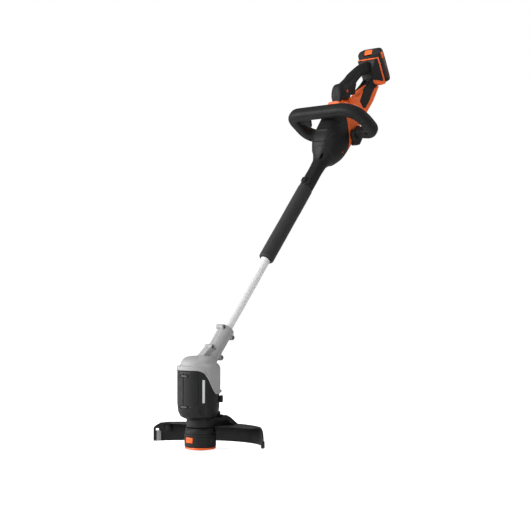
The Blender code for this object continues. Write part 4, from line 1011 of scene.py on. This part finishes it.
def loop():
    route = resampled(bent([(-58, 0, 10), (-114, 0, 8), (-114, -99, -5), (113, -98, -6), (114, 0, 4),
                            (58, 0, 6)], (44, 30, 62, 22)), 2.5)
    rows = []
    for i, here in enumerate(route):
        along = (route[min(i + 1, len(route) - 1)] - route[max(i - 1, 0)]).normalized()
        out = along.cross(Vector((0, 0, 1))).normalized()
        up = out.cross(along)
        row = []
        taper = 1 - 0.14 * smoothstep(100, 60, abs(here.x)) * smoothstep(-30, -8, here.y)
        for across, high in squircle(16.4 * taper, 17 * taper, 2.8, 96):
            angle = atan2(high, across)
            swell = 1 - 0.085 * bell(angle, radians(-80), 0.085) - 0.05 * bell(angle, radians(20), 0.06)
            row.append(here + out * across * swell + up * high * swell)
        rows.append(row)
    shape = tidied(grid(rows, start_cap=True, end_cap=True))
    cuts = [pin(7.5, 12, (127.5, -34, -2), steps=40)]
    screws = [(-101, -2), (101, -7)]
    for x, z in screws:
        cuts.append(moved(rod(3.6, 14, steps=32), to(x, -8, z - 7.5)))
    stubs = [pin(15.2, 1.6, (x, 0, 0), 0.3) for x in (-57.9, 57.9)]
    piece("front_loop", joined(combined(shape, cuts), *stubs), GRIP, "loop", ["loop_handle"], at=HUBS,
          sharp=40)
    heads = [moved(screw_head(3.2, 2.2), to(x, -8, z) @ turned(180, "X")) for x, z in screws]
    piece("loop_screws", joined(*heads), BLADE, "loop", at=HUBS)
    button = revolved([(7, -3, 0.4), (7, 2.4, 0.9), (5, 3.2, 0.4), (4.2, 2.4, 0.3)], 48)
    piece("loop_angle_button", button, BLACK, "loop_button", ["angle_button"],
          at=HUBS @ to(128.5, -34, -2) @ ALONG_X)
    web = extruded(rounded([(-104, -84, 2), (-44, -92, 2), (-40, -86, 3), (-58, -76, 8), (-71, -50, 3),
                            (-78, -49, 3), (-86, -62, 6), (-104, -64, 2)]), -4, 4, 1.2)
    piece("loop_web", moved(web, to(0, 0, -4)), GRIP, "loop", at=HUBS)
    for name, side in SIDES:
        knob = revolved([(15.5, 44.4, 0.5), (16.4, 46, 1), (16.4, 55.6, 1), (15.4, 57, 1)], 96)
        foot = plate([(-4, 32, 4), (9, 36, 9), (29, 22, 10), (32, -8, 8), (22, -21, 6), (2, -12, 8),
                      (-5, 4, 4)], 34, 53, 2.2, 4)
        knob = joined(moved(knob, ALONG_X @ turned(90, "Z")), foot)
        knob = tidied(moved(knob, Matrix.Diagonal((side, 1, 1, 1))))
        piece("loop_hub_" + name, knob, BLACK, "power_head", ["handle_hub_" + name], at=HUBS)


# ---------- inner parts that stay CAD solids
def refinish():
    finishes = {made.name.split(".")[0]: made for made in
                (BLACK, GRIP, FOAM, GRAY, ORANGE, ALUMINIUM, STEEL, COPPER, LINE, BOARD, CELL)}
    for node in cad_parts.values():
        for slot in node.material_slots:
            if slot.material:
                slot.material = finishes[slot.material.name.split(".")[0]]


# ---------- stage
# the camera stands in front and to the right, low down, and looks slightly up
CAMERA_PLACE = (2.16503, -2.16865, 0.36469)
CAMERA_TURN, CAMERA_RISE = radians(42), radians(1.6)
FOCAL_LENGTH = 84.9
# lights: (name, place, size, power)
LIGHTS = [("key", (-0.9, -2.9, 1.9), 2.4, 112), ("side", (-3.2, -2.2, 1.2), 1.6, 92),
          ("top", (0.5, -0.2, 3.4), 1.8, 10), ("fill", (3.2, -0.9, 1.3), 2.0, 16),
          ("back", (1.2, 2.8, 2.4), 1.8, 14)]
WORLD_LIGHT = 0.24


def stage():
    scene = bpy.context.scene
    lens = bpy.data.cameras.new("camera")
    lens.sensor_width = 36
    lens.lens = FOCAL_LENGTH
    camera = shown("camera", lens)
    camera.location = CAMERA_PLACE
    turn, rise = CAMERA_TURN, CAMERA_RISE
    looking = Vector((-sin(turn) * cos(rise), cos(turn) * cos(rise), sin(rise)))
    camera.rotation_euler = looking.to_track_quat("-Z", "Y").to_euler()
    scene.camera = camera
    data = mesh_of(box((40, 40, 0.02), (0, 0, -0.0105)), "floor")
    nodes = Nodes("pale_floor")
    tone = nodes.mixed(nodes.noise(0.6, 2), (0.93, 0.93, 0.93, 1), (0.95, 0.95, 0.95, 1))
    seen = nodes.add("LightPath").outputs["Is Camera Ray"]
    glow = nodes.ranged(seen, 0, 1, 0, 0.85)
    data.materials.append(nodes.finished(tone, 0.9, Specular_IOR_Level=0.1,
                                         Emission_Color=(1, 1, 1, 1), Emission_Strength=glow))
    shown("floor", data)
    for name, place, size, power in LIGHTS:
        light = bpy.data.lights.new(name, "AREA")
        light.shape = "DISK"
        light.size = size
        light.energy = power
        lamp = shown(name, light)
        lamp.location = place
        lamp.rotation_euler = (Vector((0, 0.3, 0.5)) - Vector(place)).to_track_quat("-Z", "Y").to_euler()
    world = bpy.data.worlds.new("studio")
    scene.world = world
    world.use_nodes = True
    tree = world.node_tree
    back = tree.nodes["Background"]
    bright = tree.nodes.new("ShaderNodeBackground")
    for node, strength in ((back, WORLD_LIGHT), (bright, 1.0)):
        node.inputs["Color"].default_value = (1, 1, 1, 1)
        node.inputs["Strength"].default_value = strength
    seen = tree.nodes.new("ShaderNodeLightPath")
    mix = tree.nodes.new("ShaderNodeMixShader")
    tree.links.new(seen.outputs["Is Camera Ray"], mix.inputs["Fac"])
    tree.links.new(back.outputs["Background"], mix.inputs[1])
    tree.links.new(bright.outputs["Background"], mix.inputs[2])
    tree.links.new(mix.outputs["Shader"], tree.nodes["World Output"].inputs["Surface"])
    scene.view_settings.view_transform = "Standard"


stage()
refinish()
spool_head()
barrel()
cover_piece()
guard_piece()
shaft()
front_housing()
rear_shell()
grip()
dock()
battery()
loop()
